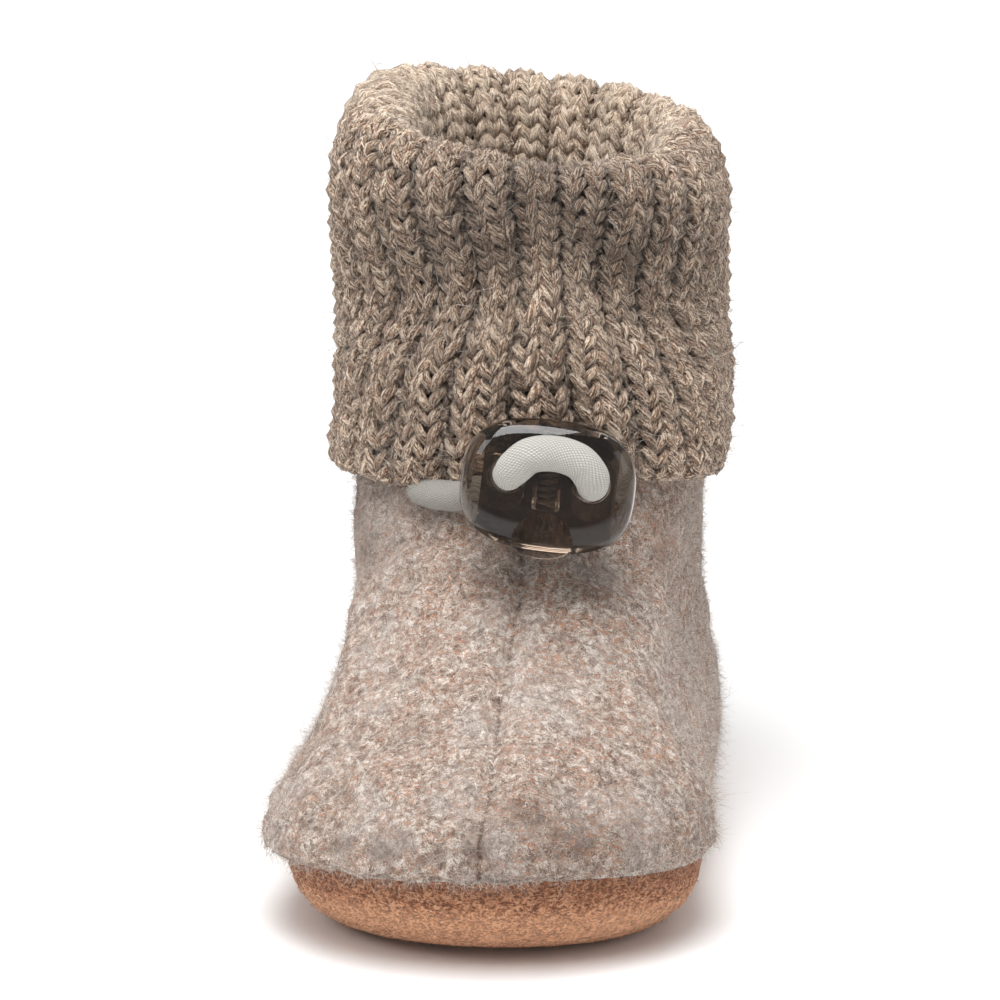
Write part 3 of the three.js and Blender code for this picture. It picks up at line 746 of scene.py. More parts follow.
def steel_paint():
    """Drawn spring wire with fine lines along it."""
    paint = Paint("spring_wire", Metallic=1.0)
    lines = paint.noise(paint.shoe(), 0.12, 2)
    paint.set(Base_Color=paint.ramp(lines, (0.3, (0.55, 0.54, 0.52)), (0.7, (0.76, 0.75, 0.73))))
    paint.set(Roughness=lines * 0.2 + 0.2)
    return paint.material


def floor_paint():
    """A plain pale floor."""
    paint = Paint("pale_floor", Roughness=0.9)
    cloud = paint.noise(paint.shoe(), 400)
    paint.set(Base_Color=paint.ramp(cloud, (0.3, (0.9, 0.9, 0.9)), (0.7, (0.92, 0.92, 0.92))))
    return paint.material


# Sole and insole

def sole_ring(inset, height, turn):
    """A ring of the sole's outline, drawn in by an inset, at a height above the lifted floor."""
    ring = dict(SOLE)
    ring["toe_y"] = SOLE["toe_y"] + inset
    ring["heel_y"] = SOLE["heel_y"] - inset
    ring["toe_radius"] = SOLE["toe_radius"] - inset
    ring["heel_radius"] = SOLE["heel_radius"] - inset
    ring["toe_z"] = height
    ring["heel_z"] = height
    return ring_points(ring, turn)


def closed_across(ring, steps):
    """Rings that draw a ring in to its middle line, so that a stack of rings is closed there."""
    share = np.linspace(0, 1, steps + 1)[1:, None]
    rings = np.repeat(ring[None], steps, 0)
    rings[..., 0] *= 1 - share
    return rings


def build_sole():
    """The pan of suede: its outside from the middle of the bottom round the turned-up edge, over the rim, and
    back down the inside. The edge turns up on a quarter circle, and fine lumps roughen the outside."""
    columns = 300
    turn = np.arange(columns)[None] / columns

    def face(wall, steps):
        radius = RIM_RADIUS - wall
        angle = np.linspace(math.pi / 2, 0, steps)[:, None]
        inset = wall + radius * (1 - np.cos(angle))
        height = wall + radius * (1 - np.sin(angle))
        upright = RIM_RADIUS + (RIM_TOP - RIM_RADIUS) * np.array([[0.5], [1.0]])
        rim = sole_ring(np.full((2, 1), wall), upright, turn)
        return np.concatenate([sole_ring(inset, height, turn), rim])

    outside = face(0, 30)
    lumps = 0.14 * soft_noise(outside, 1.4, 5) + 0.10 * soft_noise(outside, 0.7, 6)
    away = unit(outside * [1, 0, 1] - [0, 0, RIM_RADIUS])
    raised = np.clip(outside[..., 2:] - toe_lift(outside[..., 1:2]), 0, 1)
    outside = outside + away * lumps[..., None] * raised
    inside = face(SOLE_WALL, 8)
    bottom = closed_across(outside[0], 10)[::-1]
    floor = closed_across(inside[0], 4)
    points = np.concatenate([bottom, outside, inside[::-1], floor])
    # painted light low on the turned-up edge, painted shade high on it: 1 near the floor, 0 towards the rim
    brushed = 1 - smooth((points[..., 2] - toe_lift(points[..., 1]) - 4) / (RIM_TOP - 5))
    faces = grid_faces(len(points), columns, wrap_columns=True)
    mesh = mesh_of("sole_suede", points.reshape(-1, 3), faces, fields={"brushed": brushed.ravel()})
    place(welded(mesh), suede_paint(), "suede", "outsole")
    rng = np.random.default_rng(11)
    normals = unit(outside * [1, 1, 0] + [0, 0, -6])
    roots, aims = scattered(outside[4:], normals[4:], NAP_HAIRS, rng)
    aims = unit(aims + 0.9 * rng.normal(size=aims.shape))
    nap = hair_mesh("sole_nap", roots, aims, rng.uniform(0.25, 0.7, len(roots)), 0.05, rng, segments=2)
    nap_paint = hair_paint("suede_nap", (0.0, (0.24, 0.09, 0.045)), (1.0, (0.80, 0.42, 0.24)))
    place(nap, nap_paint, "suede", "outsole")


def build_insole():
    """The footbed: a slab whose edge slopes like the sole's turned-up edge beside it, rounded at its top."""
    columns = 160
    turn = np.arange(columns)[None] / columns
    radius = RIM_RADIUS - SOLE_WALL
    low = SOLE_WALL + GAP
    height = low + INSOLE_WALL * np.array([0, 0.3, 0.6, 0.85, 1.0])[:, None]
    sine = 1 - (height - SOLE_WALL) / radius
    inset = SOLE_WALL + radius * (1 - np.sqrt(1 - sine * sine)) + INSOLE_EDGE_GAP
    inset[-1] += 0.6
    edge = sole_ring(inset, height, turn)
    points = np.concatenate([closed_across(edge[0], 5)[::-1], edge, closed_across(edge[-1], 12)])
    mesh = mesh_of("footbed", points.reshape(-1, 3), grid_faces(len(points), columns, wrap_columns=True))
    place(welded(mesh), footbed_paint(), "footbed_felt", "insole")


# Upper

def fold_depth(points):
    """The troughs and ridges of the folds: each is a bell across the line from its first point to its
    second."""
    depth = np.zeros(points.shape[:-1])
    for row in zip(*FOLDS.values()):
        start, end = np.array(row[:3]), np.array(row[3:6])
        half_width, deepest = row[6:]
        run = end - start
        share = np.clip(((points - start) @ run) / (run @ run), 0, 1)
        away = np.linalg.norm(points - start - share[..., None] * run, axis=-1)
        depth += deepest * np.exp(-((away / half_width) ** 2))
    return depth


def seam_depth(points):
    """The seam down the middle of the vamp: a narrow trough that wanders a little and is pulled in at each
    stitch."""
    x, y, z = np.moveaxis(points, -1, 0)
    waves = sum(reach * np.sin(turn * y + start) for reach, turn, start in SEAM_WAVES)
    aside = x - SEAM_X - SEAM_SLANT * y - waves
    trough = np.exp(-((aside / SEAM_HALF_WIDTH) ** 2))
    shoulder = np.exp(-(((np.abs(aside) - 3.0) / 1.8) ** 2))
    pulled = 0.8 + 0.2 * np.sin(TURN * (y + z) / 6.5)
    return np.where(y < 0, SEAM_DEPTH * trough * pulled - 0.35 * shoulder, 0)


def right_tuck(points):
    """How far the wool is drawn in towards the sole low on the right of the toe."""
    x, y, z = np.moveaxis(points, -1, 0)
    return 1.7 * smooth(x / 22) * smooth((5 - y) / 20) * smooth((22 - z) / 9)


def grey_wear_and_cuff_shade(points):
    """How grey the wool is: smudges low on the toe, beside the seam and at the sides, and painted shade of
    the cuff in smudges just under it.
    """
    smudges = (
        (7, -57, 23, 6, 0.75),
        (13, -57, 20, 7, 0.8),
        (20, -54, 19, 6, 0.5),
        (1, -61, 20, 4, 0.75),
        (-19, -56, 18, 4, 0.7),
        (-13, -59, 18, 4, 0.7),
        (-10, -44, 31, 4, 0.6),
        # painted shade: these three smudges under the cuff's edge stand for its shadow
        (-22, -8, 47, 7, 0.8),
        (-24, 2, 50, 7, 0.8),
        (22, -6, 47, 6, 0.7),
    )
    grey = np.zeros(points.shape[:-1])
    for x, y, z, reach, strength in smudges:
        away = np.linalg.norm((points - [x, y, z]) * [1, 1, 1.5], axis=-1)
        grey = np.maximum(grey, strength * np.exp(-((away / reach) ** 2)))
    return grey


def build_upper():
    """The wool: its outside from the sole to the collar, over the lip, down the inside and under the lower
    lip. The outside is moved along its normal by folds, seam, broad lumps and small nubs."""
    columns = 380
    outer_rows, lip_rows, inner_rows = 124, 5, 12
    turn = np.arange(columns)[None] / columns
    half_turn = np.linspace(0, math.pi, lip_rows + 2)[1:-1]
    outer = np.linspace(0, UPPER_TOP, outer_rows)
    inner = np.linspace(UPPER_TOP, 0, inner_rows)
    at = np.concatenate([outer, np.full(lip_rows, UPPER_TOP), inner, np.zeros(lip_rows)])[:, None]
    lip = WOOL_WALL / 2 * (1 - np.cos(half_turn))
    depth = np.concatenate([0 * outer, lip, 0 * inner + WOOL_WALL, lip[::-1]])[:, None]
    bulge = WOOL_LIP * np.sin(half_turn)
    rise = np.concatenate([0 * outer, bulge, 0 * inner, -0.5 * bulge])[:, None]
    fade = np.linspace(1, 0, lip_rows)
    rough = np.concatenate([0 * outer + 1, fade, 0 * inner, fade[::-1]])[:, None]
    base = upper_surface(at, turn)
    normals = outward(upper_surface, at, turn)
    curls = 0.42 + 0.35 * smooth((30 - base[..., 2]) / 10) * smooth((-15 - base[..., 1]) / 20)
    curl = nubs(base, 2.3, 3)
    relief = 0.5 * soft_noise(base, 7, 1) + 0.30 * soft_noise(base, 3.2, 2) + curls * curl
    relief = relief - 0.7 - fold_depth(base) - seam_depth(base) - right_tuck(base)
    points = base + normals * (relief * rough - depth)[..., None]
    points[..., 2] += np.broadcast_to(rise, points.shape[:2])
    lifted = 0.9 + 1.1 * smooth(base[..., 0] / 25) * smooth((5 - base[..., 1]) / 20)
    points[..., 2] += (lifted - 0.5 * soft_noise(base, 4, 8)) * (1 - smooth(at / 0.9)) * rough
    # painted shade in the hollows between the curls, deeper where the curls stand taller
    gap = (1 - smooth((curl - 0.08) / 0.4)) * (curls - 0.15)
    x, y, z = np.moveaxis(base, -1, 0)
    # painted shade under the cuff, more on the left; the next line darkens low on the toe's front
    dull = smooth((z - 39) / 13) * (0.15 + 0.29 * smooth((-x - 3) / 13))
    dull += 0.26 * smooth((29 - z) / 9) * smooth((x + 14) / 18) * smooth((-20 - y) / 15)
    fields = {"grey": grey_wear_and_cuff_shade(base).ravel(), "gap": gap.ravel(), "dull": dull.ravel()}
    faces = grid_faces(len(points), columns, wrap_rows=True, wrap_columns=True)
    mesh = mesh_of("wool_upper", points.reshape(-1, 3), faces, fields=fields)
    place(mesh, wool_paint(), "boiled_wool", "upper")
    return points[:outer_rows], normals[:outer_rows]


# Colours of the wool's hairs by their tone, and how many there are of each kind
WOOL_HAIRS = (
    (0.00, (0.13, 0.085, 0.064)),
    (0.18, (0.36, 0.210, 0.142)),
    (0.34, (0.52, 0.420, 0.350)),
    (0.60, (0.68, 0.615, 0.550)),
    (1.00, (0.85, 0.815, 0.770)),
)
LYING_FIBRES = 7000
STANDING_HAIRS = 10400
FRINGE_HAIRS = 2200
SHORT_FUZZ = 22000


def build_upper_hairs(points, normals):
    """Felted fibres that lie on the wool, longer hairs that stand off it, with a fringe over the sole, and
    short straight fuzz between them."""
    rng = np.random.default_rng(21)
    paint = hair_paint("wool_fibre", *WOOL_HAIRS)
    roots, out = scattered(points, normals, LYING_FIBRES, rng)
    aims = rng.normal(size=out.shape)
    aims = unit(aims - (np.sum(aims * out, -1, keepdims=True) - 0.35) * out)
    lengths = rng.uniform(1.2, 3.2, len(roots))
    # the fibres darken with the grey wool and with the painted shade under the cuff
    lying = hair_mesh("wool_felted_fibres", roots, aims, lengths, 0.024, rng, 0.8, 0.2, 2, grey_wear_and_cuff_shade(roots))
    place(lying, paint, "boiled_wool", "upper")
    roots, out = scattered(points, normals, STANDING_HAIRS, rng)
    aims = unit(0.7 * out + 0.6 * rng.normal(size=out.shape))
    lengths = rng.gamma(2.4, 0.47, len(roots)) + 0.55
    fringe, low = scattered(points[:4], normals[:4], FRINGE_HAIRS, rng)
    roots = np.concatenate([roots, fringe])
    aims = np.concatenate([aims, unit(0.5 * low + 0.5 * rng.normal(size=low.shape) + [0, 0, -0.6])])
    lengths = np.concatenate([lengths, rng.uniform(0.8, 2.5, len(fringe))])
    radius = np.repeat([0.021, 0.028], [STANDING_HAIRS, FRINGE_HAIRS])[:, None]
    # darker hairs with the grey wool and the painted shade under the cuff
    shade = 0.8 * grey_wear_and_cuff_shade(roots)
    standing = hair_mesh("wool_standing_hairs", roots, aims, lengths, radius, rng, 0.9, 0.3, 2, shade)
    place(standing, paint, "boiled_wool", "upper")
    roots, out = scattered(points, normals, SHORT_FUZZ, rng)
    aims = unit(0.6 * out + 0.6 * rng.normal(size=out.shape))
    lengths = rng.uniform(0.6, 2.0, len(roots))
    # darker hairs with the grey wool and the painted shade under the cuff
    shade = 0.8 * grey_wear_and_cuff_shade(roots)
    fuzz = hair_mesh("wool_fine_fuzz", roots, aims, lengths, 0.022, rng, 0.5, 0.2, 1, shade)
    place(fuzz, paint, "boiled_wool", "upper")


# Cuff

def cuff_lengths():
    """For evenly spaced lengths up from the outer edge and phases round the cuff, the row of the table."""
    at = np.linspace(-1, CUFF_BOTTOM, 280)
    phase = np.linspace(0, 1, 193)
    points = cuff_surface(at[:, None], phase[None])
    length = np.linalg.norm(np.diff(points, axis=0), axis=-1)
    length = np.concatenate([np.zeros((1, len(phase))), np.cumsum(length, 0)])
    edge = np.searchsorted(at, 0)
    length -= length[edge]
    wanted = np.arange(-4, 100, 0.5)
    return wanted, np.stack([np.interp(wanted, column, at) for column in length.T], 1)


def row_at(lengths, climb, phase):
    """The table's row at a length up from the outer edge, between the lines of the worked-out grid."""
    wanted, rows = lengths
    r = np.clip((climb - wanted[0]) / (wanted[1] - wanted[0]), 0, len(wanted) - 1.001)
    c = (phase - np.floor(phase)) * (rows.shape[1] - 1)
    r0, c0 = np.floor(r).astype(int), np.floor(c).astype(int)
    c1 = np.minimum(c0 + 1, rows.shape[1] - 1)
    r, c = r - r0, c - c0
    low = rows[r0, c0] * (1 - c) + rows[r0, c1] * c
    high = rows[r0 + 1, c0] * (1 - c) + rows[r0 + 1, c1] * c
    return low * (1 - r) + high * r


def rib_stitches():
    """One rib of one course as points: the place across the rib, the height in the loop and the depth
    forward. A loop goes across by its angle plus lean times the sine of twice the angle, up by minus the
    cosine of the angle, and forward by minus the cosine of twice the angle for a knit stitch, or plus it
    for a purl stitch."""
    kinds = (-1, 1, 1, -1)
    shares = (PURL_SHARE, KNIT_SHARE, KNIT_SHARE, PURL_SHARE)
    counts = (PURL_POINTS, KNIT_POINTS, KNIT_POINTS, PURL_POINTS)
    across, up, forward, stitch = [], [], [], []
    start = 0.0
    for k, (kind, share, count) in enumerate(zip(kinds, shares, counts)):
        angle = TURN * np.arange(count) / count
        neighbour = np.where(angle < math.pi, kinds[k - 1], kinds[(k + 1) % 4])
        own = smooth(np.minimum(angle, TURN - angle) / (math.pi / 2))
        facing = kind * own + (kind + neighbour) / 2 * (1 - own)
        across.append(start + share * (angle / TURN + LOOP_LEAN * np.sin(2 * angle)))
        up.append(-LOOP_HEIGHT * np.cos(angle))
        forward.append(-LOOP_DEPTH * facing * np.cos(2 * angle))
        stitch.append(np.full(count, k))
        start += share
    return [np.concatenate(part) for part in (across, up, forward, stitch)]


def bell(value, centre, half_width):
    """1 at the centre, falling off as a bell."""
    return np.exp(-(((value - centre) / half_width) ** 2))


def cuff_front(phase):
    """1 at the middle of the cuff's front, easing to 0 at its back."""
    return (0.5 + 0.5 * np.cos(TURN * (phase - PINCH_PHASE))) ** 3


def cuff_droop(points, climb):
    """How far the cuff's edge drops at the left of its front."""
    x, y, _ = np.moveaxis(points, -1, 0)
    return 1.5 * bell(x, -13, 9) * bell(climb, -2, 10) * (y < 8)


def cuff_hang(climb, phase):
    """How the turned-down cuff hangs: drawn in along a soft crease halfway down, deepest at the front, fuller
    above the crease and round the rim, settled low at the back of the rim, and flared at its edge."""
    front = cuff_front(phase)
    height = np.where(climb > CREASE_CLIMB, 1.5, 1.0) * CREASE_HALF_HEIGHT
    crease = -(0.4 + 3.4 * front) * bell(climb, CREASE_CLIMB, height)
    brow = 0.8 * front * bell(climb, BROW_CLIMB, 6)
    sides = np.sin(TURN * phase) ** 2
    right = np.sin(TURN * phase)
    rim = (0.3 + 1.2 * front) * bell(climb, SHOULDER_CLIMB, 6)
    rim = rim + (0.5 + 1.2 * sides * (1 - 0.7 * right)) * bell(climb, RIM_CLIMB, 7)
    flare = front * bell(climb, 0, 8) - 1.2 * np.maximum(0, -right) * bell(np.maximum(climb, 8), 8, 13)
    billow = 0.3 * np.sin(TURN * 3 * phase + 0.12 * climb) * bell(climb, 0, 25)
    corner = 0.9 * np.maximum(0, -right) * bell(climb, -1, 3.5)
    back = 0.5 - 0.5 * np.cos(TURN * phase)
    settled = 1.1 * back**2 * bell(climb, RIM_CLIMB, 7)
    settled = settled + 0.6 * np.maximum(0, right) * bell(climb, SHOULDER_CLIMB, 7)
    return crease + brow + rim + flare + corner + billow - settled


def pinched(climb, phase):
    """The phase that a rib has moved to: the crease draws the ribs of the front together."""
    return phase - PINCH * bell(climb, CREASE_CLIMB, 9) * np.sin(TURN * (phase - PINCH_PHASE)) / TURN


def build_cuff():
    """The knit: each course is a closed strand that loops through its neighbours, laid over the ribs. Ribs
    rise from the valleys by a power of the sine across them. Every stitch is moved a little at random, and
    the loops of the edge are short and flat."""
    rng = np.random.default_rng(31)
    lengths = cuff_lengths()
    across, up, forward, stitch = rib_stitches()
    phase = ((np.arange(RIBS)[:, None] + across) / RIBS).ravel()
    which = (4 * np.arange(RIBS)[:, None] + stitch).ravel()
    up, forward, across = (np.tile(part, RIBS) for part in (up, forward, across))
    loose = rng.normal(size=(4, COURSES, 4 * RIBS))[:, :, which]
    course = FIRST_COURSE + COURSE_HEIGHT * np.arange(COURSES)[:, None]
    edge = np.arange(COURSES)[:, None] == 0
    up = np.where(edge & (up < 0), EDGE_LOOP, 1) * up
    forward = np.where(edge, EDGE_LOOP, 1) * forward
    climb = course + up * (1 + 0.09 * loose[0]) + 0.21 * loose[1]
    spot = np.stack(np.broadcast_arrays(30 * np.cos(TURN * phase), 30 * np.sin(TURN * phase), climb), -1)
    wander = 0.0030 * soft_noise(spot, 9, 32) + 0.0012 * loose[2]
    phase = pinched(climb, phase[None] + wander)
    ridge = RIDGE_RISE * np.abs(np.sin(math.pi * across)) ** 0.4 - VALLEY_DEPTH
    rows = row_at(lengths, climb, phase)
    normals = outward(cuff_surface, rows, phase)
    stands = ridge + forward * (1 + 0.15 * loose[3]) + 0.12 * loose[0]
    path = cuff_surface(rows, phase) + normals * (stands + cuff_hang(climb, phase))[..., None]
    path[..., 2] -= cuff_droop(path, climb)
    # proud: how far each strand stands out, plus painted light for the edge course, the rim and inside, and
    # on the next line the sides
    proud = stands + 1.6 * bell(climb, -2, 2.5) + 2.2 * smooth((climb - 46) / 10)
    proud += 0.35 * np.sin(TURN * phase) ** 2
    # painted shade of the rim's overhang on the cuff's upper front
    sunk = cuff_front(phase) * bell(climb, 33, 11)
    radius = YARN_RADIUS * (1 + 0.06 * loose[1] + 0.12 * forward / LOOP_DEPTH)
    rings = tube(path, normals, radius, YARN_SIDES, closed=True)
    step = np.linalg.norm(np.diff(path, axis=1, append=path[:, :1]), axis=-1)
    along = np.cumsum(step, 1) - step + 400 * np.arange(COURSES)[:, None]
    angle = TURN * (np.arange(YARN_SIDES) / YARN_SIDES + along[..., None] / YARN_TWIST_LENGTH)
    strand = np.stack([np.repeat(along[..., None], YARN_SIDES, 2), np.cos(angle), np.sin(angle)], -1)
    strand[..., 1:] *= YARN_RADIUS
    paint = yarn_paint()
    faces = grid_faces(path.shape[1], YARN_SIDES, wrap_rows=True, wrap_columns=True)
    per_course = path.shape[1] * YARN_SIDES
    half = COURSES // 2
    levels = {"proud": proud, "sunk": sunk}
    parts = {"cuff_yarn_turned_down": slice(0, half), "cuff_yarn_rim_and_inside": slice(half, COURSES)}
    for piece, part in parts.items():
        count = part.stop - part.start
        several = (np.arange(count)[:, None, None] * per_course + faces).reshape(-1, 4)
        fields = {name: np.repeat(values[part].ravel(), YARN_SIDES) for name, values in levels.items()}
        fields["strand"] = strand[part].reshape(-1, 3)
        mesh = mesh_of(piece, rings[part].reshape(-1, 3), several, fields=fields)
        place(mesh, paint, "rib_knit", "cuff")
    build_cuff_core(lengths)
    build_cuff_hairs(rings, path, rng)


def build_cuff_core(lengths):
    """The inside of the knit: a ribbed wall just under the strands, closed under the fold."""
    columns = RIBS * 8
    rows = 56
    phase = np.arange(columns)[None] / columns
    climb = np.linspace(2.6, 92, rows)
    climb = np.concatenate([climb, climb[::-4]])[:, None]
    at = row_at(lengths, climb + 0 * phase, phase + 0 * climb)
    drawn = 2 * phase - pinched(climb, phase)
    ridge = 1.5 * np.abs(np.sin(math.pi * RIBS * drawn)) ** 0.5 - 3.0
    sink = np.where(np.arange(len(climb))[:, None] < rows, ridge, -KNIT_WALL - 1)
    stands = sink + cuff_hang(climb, phase)
    points = cuff_surface(at, phase) + outward(cuff_surface, at, phase) * stands[..., None]
    faces = grid_faces(len(points), columns, wrap_rows=True, wrap_columns=True)
    bare = np.broadcast_to(smooth((climb - 73) / 5), points.shape[:2])
    mesh = mesh_of("cuff_core", points.reshape(-1, 3), faces, fields={"bare": bare.ravel()})
    place(mesh, core_paint(), "rib_knit", "cuff")


# Fibres of the yarn: how many of each kind there are, and how long they may be close to the stopper
YARN_FUZZ = 20000
YARN_FIBRES = 3400
STOPPER_REACH = (18, 14, 15)
FIBRE_BY_STOPPER = 0.7


def build_cuff_hairs(rings, path, rng):
    """Loose fibres of the yarn: rooted on its strands, they leave along the strand and outwards. They are
    kept short behind the stopper."""
    out = unit(rings - path[:, :, None])
    along = unit(np.roll(path, -1, 1) - path)
    tones = (
        (0.0, (0.10, 0.065, 0.045)),
        (0.3, (0.31, 0.220, 0.158)),
        (0.6, (0.54, 0.435, 0.345)),
        (1.0, (0.88, 0.810, 0.730)),
    )
    paint = hair_paint("cuff_fibre", *tones)
    kinds = (
        ("cuff_short_fuzz", rng.uniform(0.7, 2.3, YARN_FUZZ), 0.023, 1),
        ("cuff_loose_fibres", rng.gamma(4, 0.75, YARN_FIBRES) + 1.2, 0.025, 4),
    )
    for name, lengths, radius, segments in kinds:
        count = len(lengths)
        course = np.minimum(rng.integers(0, COURSES, count), rng.integers(0, COURSES, count))
        spot = rng.integers(0, path.shape[1], count)
        side = rng.choice([0, 1, YARN_SIDES - 1], count)
        aims = out[course, spot, side] * 0.7 + along[course, spot] * rng.choice([-1, 1], (count, 1)) * 0.6
        aims = unit(aims + 0.45 * rng.normal(size=aims.shape))
        roots = rings[course, spot, side]
        by_stopper = np.linalg.norm((roots - STOPPER_CENTRE) / STOPPER_REACH, axis=-1) < 1
        lengths = np.where(by_stopper, np.minimum(lengths, FIBRE_BY_STOPPER), lengths)
        mesh = hair_mesh(name, roots, aims, lengths, radius, rng, 0.9, 0.35, segments)
        place(mesh, paint, "rib_knit", "cuff")


# Stopper and cord

def in_shoe(points):
    """Points of the stopper's own frame in the shoe's: turned about Z, rolled about Y, tilted about X, and
    moved to its centre."""
    turned = Euler((STOPPER_TILT, STOPPER_ROLL, STOPPER_YAW), "ZYX").to_matrix()
    return np.asarray(points, float) @ np.array(turned).T + STOPPER_CENTRE


def shell_mesh():
    """The shell's outside: directions from a sphere, each as far out as a superellipse of X and Z reaches,
    and that and Y together on a blunter one."""
    rows, columns = 72, 128
    latitude = np.linspace(-math.pi / 2, math.pi / 2, rows)[:, None]
    longitude = TURN * np.arange(columns)[None] / columns
    x = np.cos(latitude) * np.cos(longitude)
    y = np.cos(latitude) * np.sin(longitude)
    z = np.sin(latitude) + 0 * longitude
    p, q = SHELL["outline_power"], SHELL["depth_power"]
    outline = (np.abs(x) ** p + np.abs(z) ** p) ** (1 / p)
    size = (outline**q + np.abs(y) ** q) ** (1 / q)
    points = np.stack([SHELL["width"] * x / size, SHELL["depth"] * y / size, SHELL["height"] * z / size], -1)
    faces = grid_faces(rows, columns, wrap_columns=True)
    return welded(mesh_of("stopper_shell", in_shoe(points.reshape(-1, 3)), faces))


def plate_mesh(name, outline, front, back):
    """A plate: an outline in the stopper's X and Z, counter-clockwise from the front, carried from front to
    back."""
    count = len(outline)
    flat = np.insert(np.array(outline, float), 1, 0, axis=1)
    points = np.concatenate([flat + [0, front, 0], flat + [0, back, 0]])
    ends = np.stack([np.arange(count), 2 * count - 1 - np.arange(count)])
    k = np.arange(count)
    sides = np.stack([k, k + count, (k + 1) % count + count, (k + 1) % count], -1)
    return mesh_of(name, in_shoe(points), ends, sides)


def arc(x, z, radius, start, stop, steps):
    """Points on an arc in the stopper's X and Z, by degrees."""
    angle = np.radians(np.linspace(start, stop, steps))
    return list(zip(x + radius * np.cos(angle), z + radius * np.sin(angle)))


def bar_mesh(name, x, z, radius, front, back):
    """A round bar through the stopper from front to back."""
    return plate_mesh(name, arc(x, z, radius, 0, 354, 60), front, back)


def upright_mesh(name, radius, low, high):
    """A round bar along the stopper's own Z."""
    count = 48
    k = np.arange(count)
    angle = TURN * k / count
    ring = np.stack([radius * np.cos(angle), radius * np.sin(angle), 0 * angle], -1)
    points = np.concatenate([ring + [0, 0, low], ring + [0, 0, high]])
    sides = np.stack([k, (k + 1) % count, (k + 1) % count + count, k + count], -1)
    ends = np.stack([k[::-1], k + count])
    return mesh_of(name, in_shoe(points), ends, sides)


def cut(mesh, *cutters):
    """The mesh with the cutters' volumes taken away."""
    scene = bpy.context.scene
    name = mesh.name
    work = bpy.data.objects.new(name + "_uncut", mesh)
    scene.collection.objects.link(work)
    tools = [bpy.data.objects.new(cutter.name, cutter) for cutter in cutters]
    for tool in tools:
        scene.collection.objects.link(tool)
        modifier = work.modifiers.new(tool.name, "BOOLEAN")
        modifier.operation = "DIFFERENCE"
        modifier.solver = "EXACT"
        modifier.object = tool
    made = bpy.data.meshes.new_from_object(work.evaluated_get(bpy.context.evaluated_depsgraph_get()))
    for leftover in (work, *tools):
        bpy.data.objects.remove(leftover)
    for used in (mesh, *cutters):
        bpy.data.meshes.remove(used)
    made.name = name
    return made


def eased(mesh, width, angle):
    """The mesh with its sharp edges rounded."""
    name = mesh.name
    work = bpy.data.objects.new(name + "_sharp", mesh)
    bpy.context.scene.collection.objects.link(work)
    modifier = work.modifiers.new("rounded", "BEVEL")
    modifier.width = width * MM
    modifier.segments = 3
    modifier.limit_method = "ANGLE"
    modifier.angle_limit = math.radians(angle)
    modifier.harden_normals = False
    made = bpy.data.meshes.new_from_object(work.evaluated_get(bpy.context.evaluated_depsgraph_get()))
    bpy.data.objects.remove(work)
    bpy.data.meshes.remove(mesh)
    made.name = name
    return made


def build_stopper():
    """The shell with its slot, holes and thumb notch cut, the plunger slab with its windows and bore, and the
    spring."""
    half, crown = SLOT["half_width"], SLOT["crown_half_width"]
    below = -2 * SHELL["height"]
    slot = [(-half, below), (half, below), (half, SLOT["shoulder_z"]), (crown, SLOT["crown_z"])]
    slot += [(-crown, SLOT["crown_z"]), (-half, SLOT["shoulder_z"])]
    through = 2 * SHELL["depth"]
    shell = cut(
        shell_mesh(),
        plate_mesh("slot", slot, -SLOT["half_depth"], SLOT["half_depth"]),
        bar_mesh("left_hole", -HOLE_X, HOLE_Z, HOLE_RADIUS, -through, through),
        bar_mesh("right_hole", HOLE_X, HOLE_Z, HOLE_RADIUS, -through, through),
        bar_mesh("notch", 0, NOTCH_Z, NOTCH_RADIUS, -through, 0),
    )
    shell.set_sharp_from_angle(angle=math.radians(28))
    place(shell, smoke_paint("smoke_shell", (0.37, 0.305, 0.255), 1.46), "smoke_plastic", "stopper_body")

    half, crown = half - GAP, crown - GAP
    shoulder = SLOT["shoulder_z"] - TRAVEL - GAP
    top = SLOT["crown_z"] - TRAVEL - GAP
    step = BUTTON["shoulder_half_width"]
    share = np.linspace(0, 1, 16)
    thumb_x = -BUTTON["half_width"] * np.cos(math.pi * share)
    thumb_z = BUTTON["shoulder_z"] + (BUTTON["tip_z"] - BUTTON["shoulder_z"]) * np.sin(math.pi * share) ** 0.8
    outline = [(-half, shoulder), (-half, SLAB_FOOT_Z), (-step, BUTTON["shoulder_z"]), *zip(thumb_x, thumb_z)]
    outline += [(step, BUTTON["shoulder_z"]), (half, SLAB_FOOT_Z), (half, shoulder)]
    outline += [(crown, top), (-crown, top)]
    reach = SLOT["half_depth"] - GAP
    high = HOLE_Z + CORD_DIAMETER / 2 + CORD_CLEARANCE - HOLE_RADIUS
    low = HOLE_Z - CORD_DIAMETER / 2 - CORD_CLEARANCE - TRAVEL + HOLE_RADIUS
    windows = []
    for x in (-HOLE_X, HOLE_X):
        window = arc(x, high, HOLE_RADIUS, 0, 180, 24) + arc(x, low, HOLE_RADIUS, 180, 360, 24)
        windows.append(plate_mesh("window", window, -6, 6))
    bore = upright_mesh("bore", BORE_RADIUS, BORE_FLOOR_Z, SHELL["height"])
    slab = cut(plate_mesh("stopper_slab", outline, -reach, reach), *windows, bore)
    slab = eased(slab, 0.18, 40)
    slab.set_sharp_from_angle(angle=math.radians(35))
    slab_paint = smoke_paint("smoke_slab", (0.66, 0.59, 0.53), 1.3)
    place(slab, slab_paint, "smoke_plastic", "stopper_plunger", body="plunger")
    build_spring()


